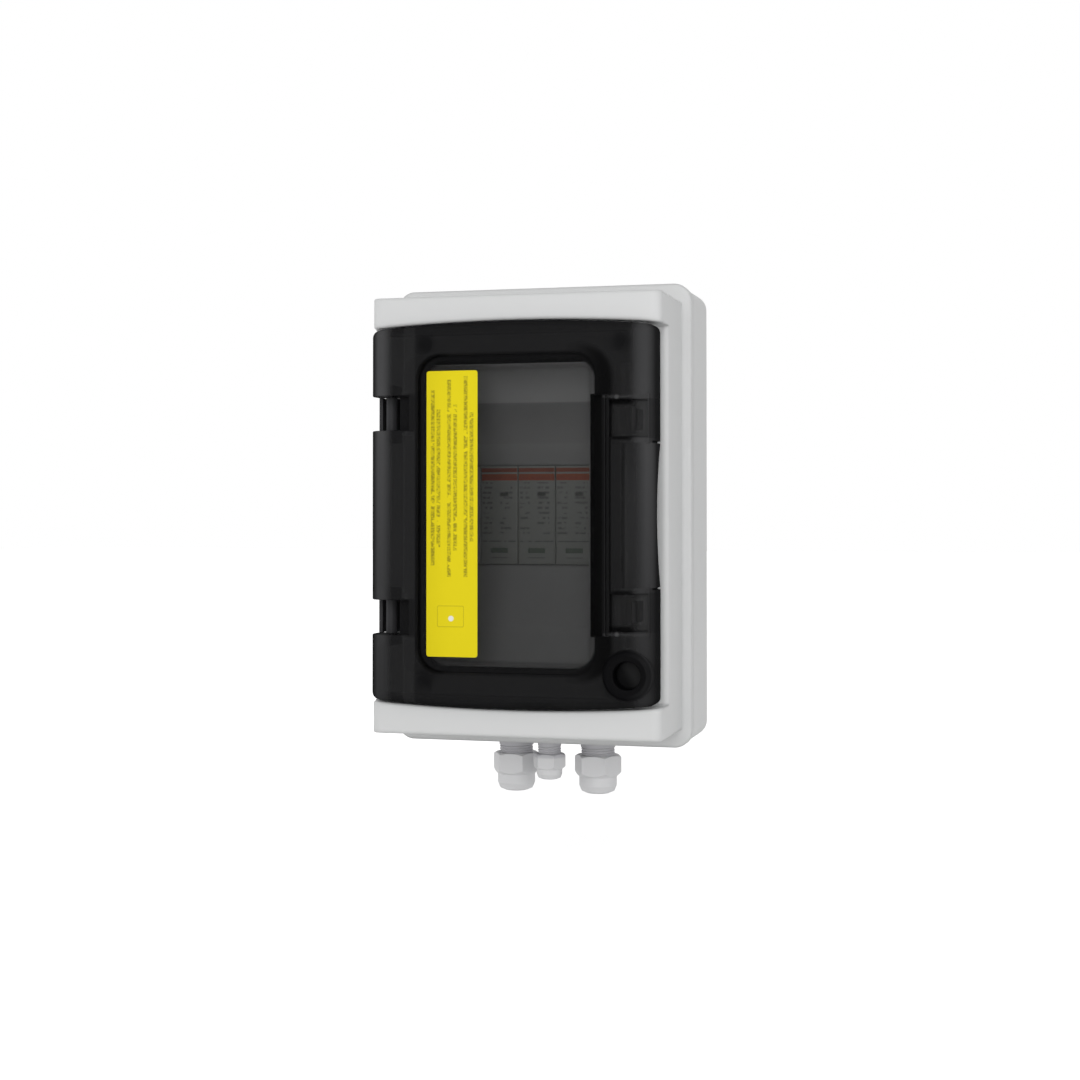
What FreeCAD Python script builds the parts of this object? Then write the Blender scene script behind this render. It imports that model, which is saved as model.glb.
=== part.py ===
import FreeCAD, Part
import math
import os

import Sketcher
from FreeCAD import Placement, Rotation, Vector

# Solar combiner box: a wall-mounted casing with a smoked hinged door, a three-pole
# surge arrester on a rail behind the door, an earth bar and three cable glands.
# X runs to the right, Z up and Y back to the wall. The origin is on the wall plane at
# the middle of the four wall screws, so the front faces -Y. A depth in the sheet is
# counted forwards from the wall plane.

SIZES = {
    # Base tray
    "box_width": 140.0,
    "box_height": 210.0,
    "base_depth": 40.5,
    "base_inset": 0.5,
    "base_wall": 2.8,
    "casing_corner": 8.0,
    "base_back_round": 2.5,
    "tongue_thickness": 1.8,
    "tongue_height": 1.2,
    "pillar_radius": 5.2,
    "pillar_bore": 1.6,
    "wall_hole_pitch_x": 112.0,
    "wall_hole_pitch_z": 182.0,
    "wall_hole_radius": 2.4,
    "wall_boss_radius": 6.0,
    "wall_boss_height": 1.6,
    # Front cover
    "flange_thickness": 5.0,
    "cover_side_inset": 4.5,
    "cover_end_inset": 8.5,
    "brow_depth": 94.5,
    "cover_wall": 2.5,
    "cover_side_round": 4.5,
    "cover_edge_round": 0.8,
    "brow_edge_round": 1.2,
    "shelf_depth": 88.0,
    "rebate_depth": 77.0,
    "left_rebate": 13.5,
    "right_rebate": 7.5,
    "catch_rebate": 19.0,
    "catch_rebate_height": 66.0,
    "tray_left": 45.5,
    "tray_floor_right": 28.4,
    "tray_right": 36.4,
    "tray_half_height": 66.0,
    "tray_depth": 70.0,
    "tray_break": 50.0,
    "window_depth": 58.0,
    "seal_depth": 1.8,
    "seal_gap": 0.3,
    "screw_pitch_x": 88.0,
    "screw_pitch_z": 152.0,
    "well_radius": 4.6,
    "well_wall": 2.0,
    "well_floor": 49.0,
    "screw_head": 3.9,
    "screw_head_height": 3.6,
    "screw_shank": 2.0,
    "screw_length": 30.0,
    # Rail and modules
    "module_pitch": 17.6,
    "module_left": 42.7,
    "module_nose": 45.0,
    "module_clearance": 0.12,
    "module_front": 59.6,
    "rail_height": 35.0,
    "rail_rise": 7.5,
    "rail_web": 25.0,
    "rail_sheet": 1.0,
    "rail_length": 116.0,
    "rail_back": 6.0,
    "rail_screw_pitch": 96.0,
    "arrester_height": 90.0,
    "arrester_floor": 24.0,
    "arrester_shoulder": 48.0,
    "terminal_size": 7.0,
    "terminal_screw": 2.2,
    "status_width": 7.0,
    "status_height": 2.6,
    "status_sink": 0.6,
    "module_round": 0.7,
    "grip_depth": 1.2,
    "grip_width": 3.0,
    "claw_reach": 3.0,
    "claw_lip": 1.5,
    "blank_wall": 1.4,
    "blank_root": 4.0,
    "blank_lip": 1.6,
    # Earth bar
    "earth_width": 56.0,
    "earth_thickness": 7.0,
    "earth_level": 64.0,
    "earth_depth": 14.0,
    "earth_ways": 6.0,
    # Door
    "door_left_inset": -0.1,
    "door_right_inset": 2.5,
    "door_top_inset": 12.0,
    "door_bottom_inset": 12.5,
    "door_rise": 2.6,
    "door_front": 99.5,
    "door_wall": 2.5,
    "door_back": 82.5,
    "door_rim": 89.5,
    "door_side_round": 9.0,
    "door_edge_round": 3.4,
    "door_gap": 0.8,
    "pane_left": 42.8,
    "pane_right": 38.4,
    "pane_top": 70.6,
    "pane_bottom": 69.2,
    "pane_corner": 11.0,
    "pane_sink": 3.4,
    "pane_slope": 0.7,
    "gasket_width": 3.8,
    "gasket_thickness": 2.0,
    "gasket_margin": 0.6,
    "bar_left": 35.9,
    "bar_right": 43.1,
    "bar_height": 104.0,
    "bar_rise": 0.5,
    "channel_width": 4.4,
    "channel_depth": 3.6,
    "ridge_width": 1.5,
    "ridge_drop": 1.8,
    "grip_line_x": 49.4,
    "grip_line_half": 24.5,
    "grip_line_width": 0.6,
    "grip_line_depth": 0.5,
    "scoop_height": 62.8,
    "scoop_depth": 7.3,
    "slit_width": 0.9,
    "slit_depth": 1.2,
    "lock_side_inset": 13.6,
    "lock_end_inset": 28.4,
    "lock_base": 11.0,
    "lock_bore": 6.0,
    "lock_rise": 1.4,
    "lock_sink": 7.0,
    # Hinges and catches
    "hinge_inset": 6.8,
    "hinge_depth": 86.2,
    "hinge_level": 45.0,
    "pocket_height": 15.3,
    "pocket_right": 46.0,
    "pocket_sink": 5.0,
    "pocket_edge_round": 0.5,
    "knuckle_edge": 13.6,
    "knuckle_radius": 2.5,
    "hinge_pin": 1.25,
    "pin_clearance": 0.05,
    "lug_height": 5.0,
    "lug_reach": 3.4,
    "end_play": 0.2,
    "catch_inset": 14.9,
    "zone_height": 16.1,
    "zone_sink": 3.6,
    "zone_side": 2.4,
    "catch_depth": 84.5,
    "catch_level": 41.4,
    "catch_height": 13.0,
    "catch_finger": 2.0,
    "foot_height": 2.0,
    "cheek_inset": 1.2,
    "cheek_thickness": 1.6,
    "cheek_rise": 0.6,
    # Label strip on the pane
    "strip_left": 38.9,
    "strip_width": 23.4,
    "strip_bottom": 62.0,
    "strip_height": 125.4,
    "strip_thickness": 0.25,
    # Cable glands, large pair and small one
    "large_x": 20.0,
    "large_depth": 17.5,
    "large_collar": 8.2,
    "large_stem": 6.5,
    "large_thread": 7.6,
    "large_flats": 19.6,
    "large_dome": 8.95,
    "large_cable": 4.1,
    "large_drop": 4.9,
    "large_hex_height": 9.4,
    "large_dome_height": 8.6,
    "small_x": 0.0,
    "small_depth": 31.5,
    "small_collar": 5.5,
    "small_stem": 4.4,
    "small_thread": 5.1,
    "small_flats": 13.4,
    "small_dome": 6.0,
    "small_cable": 2.6,
    "small_drop": 3.2,
    "small_hex_height": 6.8,
    "small_dome_height": 5.2,
    "gland_washer": 1.0,
    "neck_height": 3.7,
    "locknut_height": 4.0,
    "gland_clearance": 0.15,
}


class Size:
    """A number together with the sheet formula that gives it."""

    def __init__(self, value, formula):
        self.value = value
        self.formula = formula

    @staticmethod
    def of(other):
        return other if isinstance(other, Size) else Size(float(other), f"({float(other)!r})")

    def joined(self, sign, other, value):
        return Size(value, f"({self.formula} {sign} {other.formula})")

    def __add__(self, other):
        other = Size.of(other)
        return self.joined("+", other, self.value + other.value)

    def __sub__(self, other):
        other = Size.of(other)
        return self.joined("-", other, self.value - other.value)

    def __mul__(self, other):
        other = Size.of(other)
        return self.joined("*", other, self.value * other.value)

    def __truediv__(self, other):
        other = Size.of(other)
        return self.joined("/", other, self.value / other.value)

    def __radd__(self, other):
        return Size.of(other) + self

    def __rsub__(self, other):
        return Size.of(other) - self

    def __rmul__(self, other):
        return Size.of(other) * self

    def __neg__(self):
        return Size(-self.value, f"(-1 * {self.formula})")


def bind(item, name, value):
    """Tie a property or constraint to the formula of a size."""
    item.setExpression(name, Size.of(value).formula)


doc = FreeCAD.newDocument("combiner_box")
sheet = doc.addObject("Spreadsheet::Sheet", "Sizes")
for row, (alias, number) in enumerate(SIZES.items(), start=1):
    sheet.set(f"A{row}", alias.replace("_", " "))
    sheet.set(f"B{row}", str(number))
    sheet.setAlias(f"B{row}", alias)
doc.recompute()


class Sheet:
    """The sheet's sizes by name."""

    def __getattr__(self, alias):
        return Size(SIZES[alias], f"Sizes.{alias}")


size = Sheet()
parts = {}


class Drawing:
    """A sketch on one of its body's origin planes. Levels are measured along the plane's normal."""

    def __init__(self, body, name, plane, level):
        self.sketch = body.newObject("Sketcher::SketchObject", name)
        origin = [item for item in body.Origin.OriginFeatures if item.Role == plane][0]
        self.sketch.AttachmentSupport = [(origin, "")]
        self.sketch.MapMode = "FlatFace"
        bind(self.sketch, "AttachmentOffset.Base.z", level)

    def measure(self, kind, value, *where):
        """Add one dimension and bind it."""
        number = self.sketch.addConstraint(Sketcher.Constraint(kind, *where, Size.of(value).value))
        label = f"size_{number}"
        self.sketch.renameConstraint(number, label)
        bind(self.sketch, f"Constraints.{label}", value)

    def place(self, piece, point, across, along):
        """Hold a point of a line, arc or circle at a distance from both axes."""
        self.measure("DistanceX", across, -1, 1, piece, point)
        self.measure("DistanceY", along, -1, 1, piece, point)

    def join(self, first, count):
        """Join lines and arcs end to start in a ring."""
        for step in range(count):
            follower = first + (step + 1) % count
            self.sketch.addConstraint(Sketcher.Constraint("Coincident", first + step, 2, follower, 1))

    def polygon(self, points):
        corners = [Vector(Size.of(across).value, Size.of(along).value, 0) for across, along in points]
        first = self.sketch.GeometryCount
        for number, corner in enumerate(corners):
            self.sketch.addGeometry(Part.LineSegment(corner, corners[(number + 1) % len(corners)]), False)
        self.join(first, len(corners))
        for number, (across, along) in enumerate(points):
            self.place(first + number, 1, across, along)
        return self

    def rectangle(self, low, high, bottom, top):
        return self.polygon([(low, bottom), (high, bottom), (high, top), (low, top)])

    def circle(self, across, along, radius):
        middle = Vector(Size.of(across).value, Size.of(along).value, 0)
        shape = Part.Circle(middle, Vector(0, 0, 1), Size.of(radius).value)
        piece = self.sketch.addGeometry(shape, False)
        self.place(piece, 3, across, along)
        self.measure("Radius", radius, piece)
        return self

    def rounded(self, low, high, bottom, top, radius):
        """A rectangle with round corners."""
        left, right, down, up, turn = (Size.of(item).value for item in (low, high, bottom, top, radius))
        first = self.sketch.GeometryCount
        centres = [(right - turn, down + turn), (right - turn, up - turn),
                   (left + turn, up - turn), (left + turn, down + turn)]
        runs = [((left + turn, down), (right - turn, down)), ((right, down + turn), (right, up - turn)),
                ((right - turn, up), (left + turn, up)), ((left, up - turn), (left, down + turn))]
        for quarter in range(4):
            start, end = (Vector(*point, 0) for point in runs[quarter])
            self.sketch.addGeometry(Part.LineSegment(start, end), False)
            circle = Part.Circle(Vector(*centres[quarter], 0), Vector(0, 0, 1), turn)
            opening = (quarter - 1) * math.pi / 2
            self.sketch.addGeometry(Part.ArcOfCircle(circle, opening, opening + math.pi / 2), False)
        for step in range(8):
            follower = first + (step + 1) % 8
            self.sketch.addConstraint(Sketcher.Constraint("Tangent", first + step, 2, follower, 1))
        for quarter, kind in enumerate(("Horizontal", "Vertical", "Horizontal", "Vertical")):
            self.sketch.addConstraint(Sketcher.Constraint(kind, first + 2 * quarter))
        for quarter in range(1, 4):
            self.sketch.addConstraint(Sketcher.Constraint("Equal", first + 1, first + 1 + 2 * quarter))
        self.measure("Radius", radius, first + 1)
        self.measure("DistanceY", bottom, -1, 1, first, 1)
        self.measure("DistanceX", high, -1, 1, first + 2, 1)
        self.measure("DistanceY", top, -1, 1, first + 4, 1)
        self.measure("DistanceX", low, -1, 1, first + 6, 1)
        return self

    def arched(self, low, high, bottom, top, rise):
        """Two upright sides under a shallow arc and over another, which reach top and bottom."""
        chord = high - low
        radius = (chord * chord / 4 + rise * rise) / (2 * rise)
        left, right, down, up, sag = (Size.of(item).value for item in (low, high, bottom, top, rise))
        middle = (left + right) / 2
        first = self.sketch.GeometryCount
        foot = [Vector(left, down + sag, 0), Vector(middle, down, 0), Vector(right, down + sag, 0)]
        head = [Vector(right, up - sag, 0), Vector(middle, up, 0), Vector(left, up - sag, 0)]
        self.sketch.addGeometry(Part.Arc(*foot), False)
        self.sketch.addGeometry(Part.LineSegment(foot[2], head[0]), False)
        self.sketch.addGeometry(Part.Arc(*head), False)
        self.sketch.addGeometry(Part.LineSegment(head[2], foot[0]), False)
        self.join(first, 4)
        self.place(first + 1, 1, high, bottom + rise)
        self.place(first + 1, 2, high, top - rise)
        self.place(first + 3, 1, low, top - rise)
        self.place(first + 3, 2, low, bottom + rise)
        self.measure("Radius", radius, first)
        self.measure("Radius", radius, first + 2)
        return self


class Solid:
    """A part-design body whose features follow one another."""

    def __init__(self, name):
        self.body = doc.addObject("PartDesign::Body", name)
        self.body.Label = name
        self.name = name
        self.count = 0
        parts[name] = self.body

    def label(self, word):
        self.count += 1
        return f"{self.name}_{self.count}_{word}"

    def draw(self, plane, level):
        return Drawing(self.body, self.label("sketch"), plane, level)

    def front(self, level):
        """A sketch seen from the front, at a depth from the wall."""
        return self.draw("XZ_Plane", level)

    def plan(self, level):
        """A sketch seen from above, with depths as negative second values, at a height."""
        return self.draw("XY_Plane", level)

    def side(self, level):
        """A sketch seen from the right, with depths as negative first values, at a place along X."""
        return self.draw("YZ_Plane", level)

    def volume(self):
        return self.body.Shape.Volume

    def feature(self, kind, drawing, length, reverse):
        before = self.volume() if self.count > 1 else 0.0
        feature = self.body.newObject(f"PartDesign::{kind}", self.label(kind.lower()))
        feature.Profile = drawing.sketch
        feature.Reversed = reverse
        bind(feature, "Length", length)
        doc.recompute()
        change = self.volume() - before
        if change == 0 or (change > 0) != (kind == "Pad"):
            raise ValueError(f"{feature.Name} changed the volume by {change}")
        return self

    def pad(self, drawing, length, reverse=False):
        """Add material along the sketch's normal."""
        return self.feature("Pad", drawing, length, reverse)

    def pocket(self, drawing, length, reverse=False):
        """Cut against the sketch's normal, or along it when reversed."""
        return self.feature("Pocket", drawing, length, reverse)

    def turned(self, kind, drawing):
        """Revolve or groove a profile about the body's Z axis."""
        before = self.volume() if self.count > 1 else 0.0
        feature = self.body.newObject(f"PartDesign::{kind}", self.label(kind.lower()))
        feature.Profile = drawing.sketch
        upright = [item for item in self.body.Origin.OriginFeatures if item.Role == "Z_Axis"][0]
        feature.ReferenceAxis = (upright, [""])
        feature.Angle = 360.0
        doc.recompute()
        change = self.volume() - before
        if change == 0 or (change > 0) != (kind == "Revolution"):
            raise ValueError(f"{feature.Name} changed the volume by {change}")
        return self

    def dress(self, kind, prop, amount, pick):
        """Round or bevel the edges that pick accepts."""
        doc.recompute()
        base = self.body.Tip
        names = [f"Edge{number + 1}" for number, edge in enumerate(base.Shape.Edges) if pick(edge)]
        if not names:
            raise ValueError(f"{self.name} has no edge to dress")
        feature = self.body.newObject(f"PartDesign::{kind}", self.label(kind.lower()))
        feature.Base = (base, names)
        bind(feature, prop, amount)
        doc.recompute()
        if not feature.Shape.isValid() or "Invalid" in feature.State:
            raise ValueError(f"{feature.Name} failed on {names}")
        return self

    def fillet(self, radius, pick):
        return self.dress("Fillet", "Radius", radius, pick)

    def chamfer(self, width, pick):
        return self.dress("Chamfer", "Size", width, pick)


def near(first, second, slack=0.02):
    return abs(Size.of(first).value - Size.of(second).value) < slack


def straight(edge, axis):
    """Tell whether an edge is a straight line along X, Y or Z."""
    box = edge.BoundBox
    spans = {"X": box.XLength, "Y": box.YLength, "Z": box.ZLength}
    longest = spans.pop(axis)
    return longest > 0.01 and max(spans.values()) < 0.005


def flat_at(edge, axis, level):
    """Tell whether an edge lies in the plane at a level along X, Y or Z."""
    box = edge.BoundBox
    low, high = {"X": (box.XMin, box.XMax), "Y": (box.YMin, box.YMax), "Z": (box.ZMin, box.ZMax)}[axis]
    return near(low, level) and near(high, level)


def simple_box(name, low, high):
    """A box between two corners, each given as X, Y and Z."""
    item = doc.addObject("Part::Box", name)
    for prop, axis, start, end in zip(("Length", "Width", "Height"), "xyz", low, high):
        bind(item, prop, Size.of(end) - start)
        bind(item, f"Placement.Base.{axis}", start)
    return item


def simple_rod(name, radius, start, length, turn):
    """A cylinder from a start point, turned from Z by a rotation."""
    item = doc.addObject("Part::Cylinder", name)
    item.Placement = Placement(Vector(0, 0, 0), turn)
    bind(item, "Radius", radius)
    bind(item, "Height", length)
    for axis, value in zip("xyz", start):
        bind(item, f"Placement.Base.{axis}", value)
    return item


def combine(kind, name, base, tool):
    item = doc.addObject(f"Part::{kind}", name)
    item.Base = base
    item.Tool = tool
    return item


def group(name, items):
    """Like pieces that share one node, each a separate solid."""
    item = doc.addObject("Part::Compound", name)
    item.Links = items
    item.Label = name
    parts[name] = item


FORWARD = Rotation(Vector(1, 0, 0), 90)
UPWARD = Rotation()
CORNERS = [(-1, -1), (1, -1), (1, 1), (-1, 1)]

half_width = size.box_width / 2
half_height = size.box_height / 2
base_half_width = half_width - size.base_inset
base_half_height = half_height - size.base_inset
base_corner = size.casing_corner - size.base_inset
ledge_depth = size.base_depth + size.flange_thickness
tongue_inset = size.base_wall - size.tongue_thickness
groove_outer = size.base_inset + tongue_inset - size.seal_gap
groove_inner = size.base_inset + size.base_wall + size.seal_gap
groove_depth = size.tongue_height + size.seal_depth
pillar_top = ledge_depth - size.cover_wall / 2
screw_x = size.screw_pitch_x / 2
screw_z = size.screw_pitch_z / 2
rail_front = size.rail_back + size.rail_rise
nose_half = size.module_nose / 2
arrester_left = size.module_pitch - size.module_left
arrester_width = 3 * size.module_pitch
gland_face = -base_half_height
pane_front = size.door_front - size.pane_sink
pane_back = pane_front - size.door_wall
door_inner = size.door_front - size.door_wall
gasket_top = size.tray_half_height + size.gasket_margin
gasket_left = size.tray_left + size.gasket_margin
gasket_right = size.tray_right + size.gasket_margin
cover_side = half_width - size.cover_side_inset
cover_end = half_height - size.cover_end_inset
door_left = size.door_left_inset - cover_side
door_right = cover_side - size.door_right_inset
door_top = cover_end - size.door_top_inset
door_bottom = size.door_bottom_inset - cover_end
hinge_y = -size.hinge_depth
hinge_x = size.hinge_inset - cover_side
catch_x = cover_side - size.catch_inset
lock_x = cover_side - size.lock_side_inset
lock_z = size.lock_end_inset - cover_end
GLANDS = {
    "left": ("large", -size.large_x, size.large_depth),
    "middle": ("small", size.small_x, size.small_depth),
    "right": ("large", size.large_x, size.large_depth),
}


def gland_size(kind, word):
    return getattr(size, f"{kind}_{word}")


def make_base():
    """The rear tray with its screw pillars, rail seats, wall holes and gland holes."""
    base = Solid("base")
    outline = base.front(0).rounded(-base_half_width, base_half_width,
                                    -base_half_height, base_half_height, base_corner)
    base.pad(outline, size.base_depth)
    base.fillet(size.base_back_round, lambda edge: flat_at(edge, "Y", 0))
    inner_width = base_half_width - size.base_wall
    inner_height = base_half_height - size.base_wall
    inner_corner = base_corner - size.base_wall
    hollow = base.front(size.base_depth).rounded(-inner_width, inner_width,
                                                 -inner_height, inner_height, inner_corner)
    base.pocket(hollow, size.base_depth - size.base_wall)
    rim = base.front(size.base_depth)
    rim.rounded(tongue_inset - base_half_width, base_half_width - tongue_inset,
                tongue_inset - base_half_height, base_half_height - tongue_inset, base_corner - tongue_inset)
    rim.rounded(-inner_width, inner_width, -inner_height, inner_height, inner_corner)
    base.pad(rim, size.tongue_height)
    pillars = base.front(size.base_wall)
    bosses = base.front(size.base_wall)
    seats = base.front(size.base_wall)
    for side, end in CORNERS:
        pillars.circle(side * screw_x, end * screw_z, size.pillar_radius)
        bosses.circle(side * size.wall_hole_pitch_x / 2, end * size.wall_hole_pitch_z / 2,
                      size.wall_boss_radius)
    for side in (-1, 1):
        seats.circle(side * size.rail_screw_pitch / 2, 0, size.pillar_radius)
    base.pad(pillars, pillar_top - size.base_wall)
    base.pad(bosses, size.wall_boss_height)
    base.pad(seats, size.rail_back - size.base_wall)
    bores = base.front(pillar_top)
    holes = base.front(size.base_wall + size.wall_boss_height)
    for side, end in CORNERS:
        bores.circle(side * screw_x, end * screw_z, size.pillar_bore)
        holes.circle(side * size.wall_hole_pitch_x / 2, end * size.wall_hole_pitch_z / 2,
                     size.wall_hole_radius)
    base.pocket(bores, pillar_top - size.base_wall)
    base.pocket(holes, size.base_wall + size.wall_boss_height)
    rail_bores = base.front(size.rail_back)
    for side in (-1, 1):
        rail_bores.circle(side * size.rail_screw_pitch / 2, 0, size.pillar_bore)
    base.pocket(rail_bores, size.rail_back - size.base_wall / 2)
    entries = base.plan(size.base_wall - base_half_height)
    for kind, across, depth in GLANDS.values():
        entries.circle(across, -depth, gland_size(kind, "stem") + size.gland_clearance)
    base.pocket(entries, size.base_wall)


def seal_ring(solid, level, outer_gap, inner_gap):
    """Draw the ring of the casing seal, in from the flange's outline by two distances."""
    drawing = solid.front(level)
    for gap in (outer_gap, inner_gap):
        drawing.rounded(gap - half_width, half_width - gap, gap - half_height, half_height - gap,
                        size.casing_corner - gap)
    return drawing


def make_cover_gasket():
    """The cord seal that lies in the flange's groove on the base's tongue."""
    gasket = Solid("cover_gasket")
    slack = size.seal_gap / 3
    level = size.base_depth + size.tongue_height
    ring = seal_ring(gasket, level, groove_outer + slack, groove_inner - slack)
    gasket.pad(ring, size.seal_depth)


def make_front_cover():
    """The moulded front: flange, brow and chin round the door's bed, module tray and screw wells."""
    cover = Solid("front_cover")
    side = cover_side
    end = cover_end
    flange = cover.front(size.base_depth).rounded(-half_width, half_width, -half_height, half_height,
                                                  size.casing_corner)
    cover.pad(flange, size.flange_thickness)
    cover.pad(cover.front(ledge_depth).rectangle(-side, side, -end, end), size.brow_depth - ledge_depth)
    cover.fillet(size.cover_side_round,
                 lambda edge: straight(edge, "Z") and flat_at(edge, "Y", -size.brow_depth))
    cover.fillet(size.cover_edge_round,
                 lambda edge: (flat_at(edge, "Z", end) or flat_at(edge, "Z", -end))
                 and not flat_at(edge, "Y", -ledge_depth))
    bed = cover.front(size.brow_depth).arched(-side - 1, side + 1, door_bottom - size.door_gap,
                                              door_top + size.door_gap, size.door_rise)
    cover.pocket(bed, size.brow_depth - size.shelf_depth)
    cover.fillet(size.brow_edge_round,
                 lambda edge: flat_at(edge, "Y", -size.brow_depth) and edge.BoundBox.XLength > side.value)
    step = size.shelf_depth - size.rebate_depth
    low = door_bottom + size.door_rise - size.door_gap
    high = door_top + size.door_gap - size.door_rise
    reach = size.catch_rebate_height
    left = size.left_rebate - side
    right = side - size.right_rebate
    middle = side - size.catch_rebate
    cover.pocket(cover.front(size.shelf_depth).rectangle(-side - 1, left, low, high), step)
    cover.pocket(cover.front(size.shelf_depth).rectangle(right, side + 1, low, high), step)
    cover.pocket(cover.front(size.shelf_depth).rectangle(middle, right + 1, -reach, reach), step)
    cover.fillet(size.cover_side_round / 2,
                 lambda edge: straight(edge, "Z") and flat_at(edge, "Y", -size.rebate_depth)
                 and near(abs(edge.BoundBox.XMin), side))
    wall = size.cover_wall
    cavity = cover.front(size.base_depth).rectangle(wall - side, side - wall, wall - end, end - wall)
    cover.pocket(cavity, size.rebate_depth - wall - size.base_depth, True)
    crown = cover.front(size.rebate_depth - wall)
    crown.rectangle(left + wall, middle - wall, low + wall, high - wall)
    cover.pocket(crown, step, True)
    for bottom, top in ((door_top + size.door_gap + wall, end - wall),
                        (wall - end, door_bottom - size.door_gap - wall)):
        ridge = cover.front(size.rebate_depth - wall).rectangle(size.cover_side_round - side,
                                                                side - size.cover_side_round, bottom, top)
        cover.pocket(ridge, size.brow_depth - size.rebate_depth, True)
    make_tray(cover)
    make_wells(cover)
    groove = seal_ring(cover, size.base_depth, groove_outer, groove_inner)
    cover.pocket(groove, groove_depth, True)
    pegs = cover.front(size.rebate_depth)
    for sign in (-1, 1):
        pegs.circle(hinge_x, sign * size.hinge_level, size.hinge_pin + size.pin_clearance)
        pegs.circle(catch_x, sign * size.catch_level, size.hinge_pin + size.pin_clearance)
    cover.pocket(pegs, wall)


def tray_profile(inset, front):
    """Half-profile points of the module tray, inset from its faces, up to a front level."""
    rows = [(front, size.tray_half_height - inset), (size.tray_depth + inset, size.tray_half_height - inset),
            (size.tray_depth + inset, size.tray_break), (size.window_depth + inset, nose_half + 1)]
    upper = [(-depth, level) for depth, level in rows]
    lower = [(-depth, -level) for depth, level in reversed(rows)]
    return upper + lower


def make_tray(cover):
    """Sink the tray in which the module window lies, with walls of even thickness."""
    wall = size.cover_wall
    shell = cover.side(-size.tray_left - wall)
    shell.polygon(tray_profile(-wall, size.shelf_depth))
    cover.pad(shell, size.tray_left + size.tray_floor_right + 2 * wall)
    foot = size.tray_floor_right
    brace = cover.plan(-size.tray_half_height - wall)
    brace.polygon([(foot, wall - size.tray_depth), (foot + wall, wall - size.tray_depth),
                   (size.tray_right + wall, -size.shelf_depth), (foot, -size.shelf_depth)])
    cover.pad(brace, 2 * size.tray_half_height + 2 * wall)
    sink = cover.side(foot)
    sink.polygon(tray_profile(Size.of(0), size.shelf_depth + 1))
    cover.pocket(sink, size.tray_left + foot)
    slant = cover.plan(size.tray_half_height)
    slant.polygon([(foot - 1, -size.tray_depth), (foot, -size.tray_depth),
                   (size.tray_right, -size.shelf_depth), (size.tray_right, -size.shelf_depth - 1),
                   (foot - 1, -size.shelf_depth - 1)])
    cover.pocket(slant, 2 * size.tray_half_height)
    slack = size.module_clearance
    window = cover.front(size.window_depth + 1)
    window.rectangle(-size.module_left - slack, 4 * size.module_pitch - size.module_left + slack,
                     -nose_half - slack, nose_half + slack)
    cover.pocket(window, wall + 2)


def make_wells(cover):
    """Add the four tubes that lead the cover screws to the base's pillars."""
    tubes = cover.front(pillar_top)
    wells = cover.front(size.shelf_depth)
    bores = cover.front(size.well_floor)
    for side, end in CORNERS:
        tubes.circle(side * screw_x, end * screw_z, size.well_radius + size.well_wall)
        wells.circle(side * screw_x, end * screw_z, size.well_radius)
        bores.circle(side * screw_x, end * screw_z, size.screw_shank + size.gland_clearance)
    cover.pad(tubes, size.shelf_depth - size.cover_wall / 2 - pillar_top)
    cover.pocket(wells, size.shelf_depth - size.well_floor)
    cover.pocket(bores, size.well_floor - pillar_top)


def slotted_screw(name, head, head_height, shank, length, across, seat, level):
    """A pan-head screw that points to the wall, with a cross slot cut by a bar."""
    body = simple_rod(f"{name}_shank", shank, (across, -seat + length, level), length, FORWARD)
    cap = simple_rod(f"{name}_head", head, (across, -seat, level), head_height, FORWARD)
    blank = combine("Fuse", f"{name}_blank", cap, body)
    reach = head * 0.75
    half = head * 0.14
    slot = simple_box(f"{name}_slot", (across - reach, -seat - head_height, level - half),
                      (across + reach, head_height * 0.5 - seat - head_height, level + half))
    return combine("Cut", name, blank, slot)


def make_screws():
    """Cover screws in their wells and the two rail screws."""
    group("cover_screws", [
        slotted_screw(f"cover_screw_{number}", size.screw_head, size.screw_head_height,
                      size.pillar_bore, size.screw_length, side * screw_x, size.well_floor, end * screw_z)
        for number, (side, end) in enumerate(CORNERS)])
    group("rail_screws", [
        slotted_screw(f"rail_screw_{number}", size.screw_head - 0.4, size.rail_sheet * 2, size.pillar_bore,
                      size.rail_back / 2, side * size.rail_screw_pitch / 2,
                      size.rail_back + size.rail_sheet, Size.of(0))
        for number, side in enumerate((-1, 1))])


def make_rail():
    """The top-hat rail, a bent strip with two fixing holes."""
    rail = Solid("din_rail")
    web = size.rail_web / 2
    lip = size.rail_height / 2
    sheet_gauge = size.rail_sheet
    back = size.rail_back
    outline = [(back, -web), (rail_front - sheet_gauge, -web), (rail_front - sheet_gauge, -lip),
               (rail_front, -lip), (rail_front, sheet_gauge - web), (back + sheet_gauge, sheet_gauge - web)]
    mirror = [(depth, -level) for depth, level in reversed(outline)]
    drawing = rail.side(-size.rail_length / 2)
    drawing.polygon([(-depth, level) for depth, level in outline + mirror])
    rail.pad(drawing, size.rail_length)
    holes = rail.front(back + sheet_gauge)
    for side in (-1, 1):
        holes.circle(side * size.rail_screw_pitch / 2, 0, size.pillar_bore + size.gland_clearance)
    rail.pocket(holes, sheet_gauge)


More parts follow.
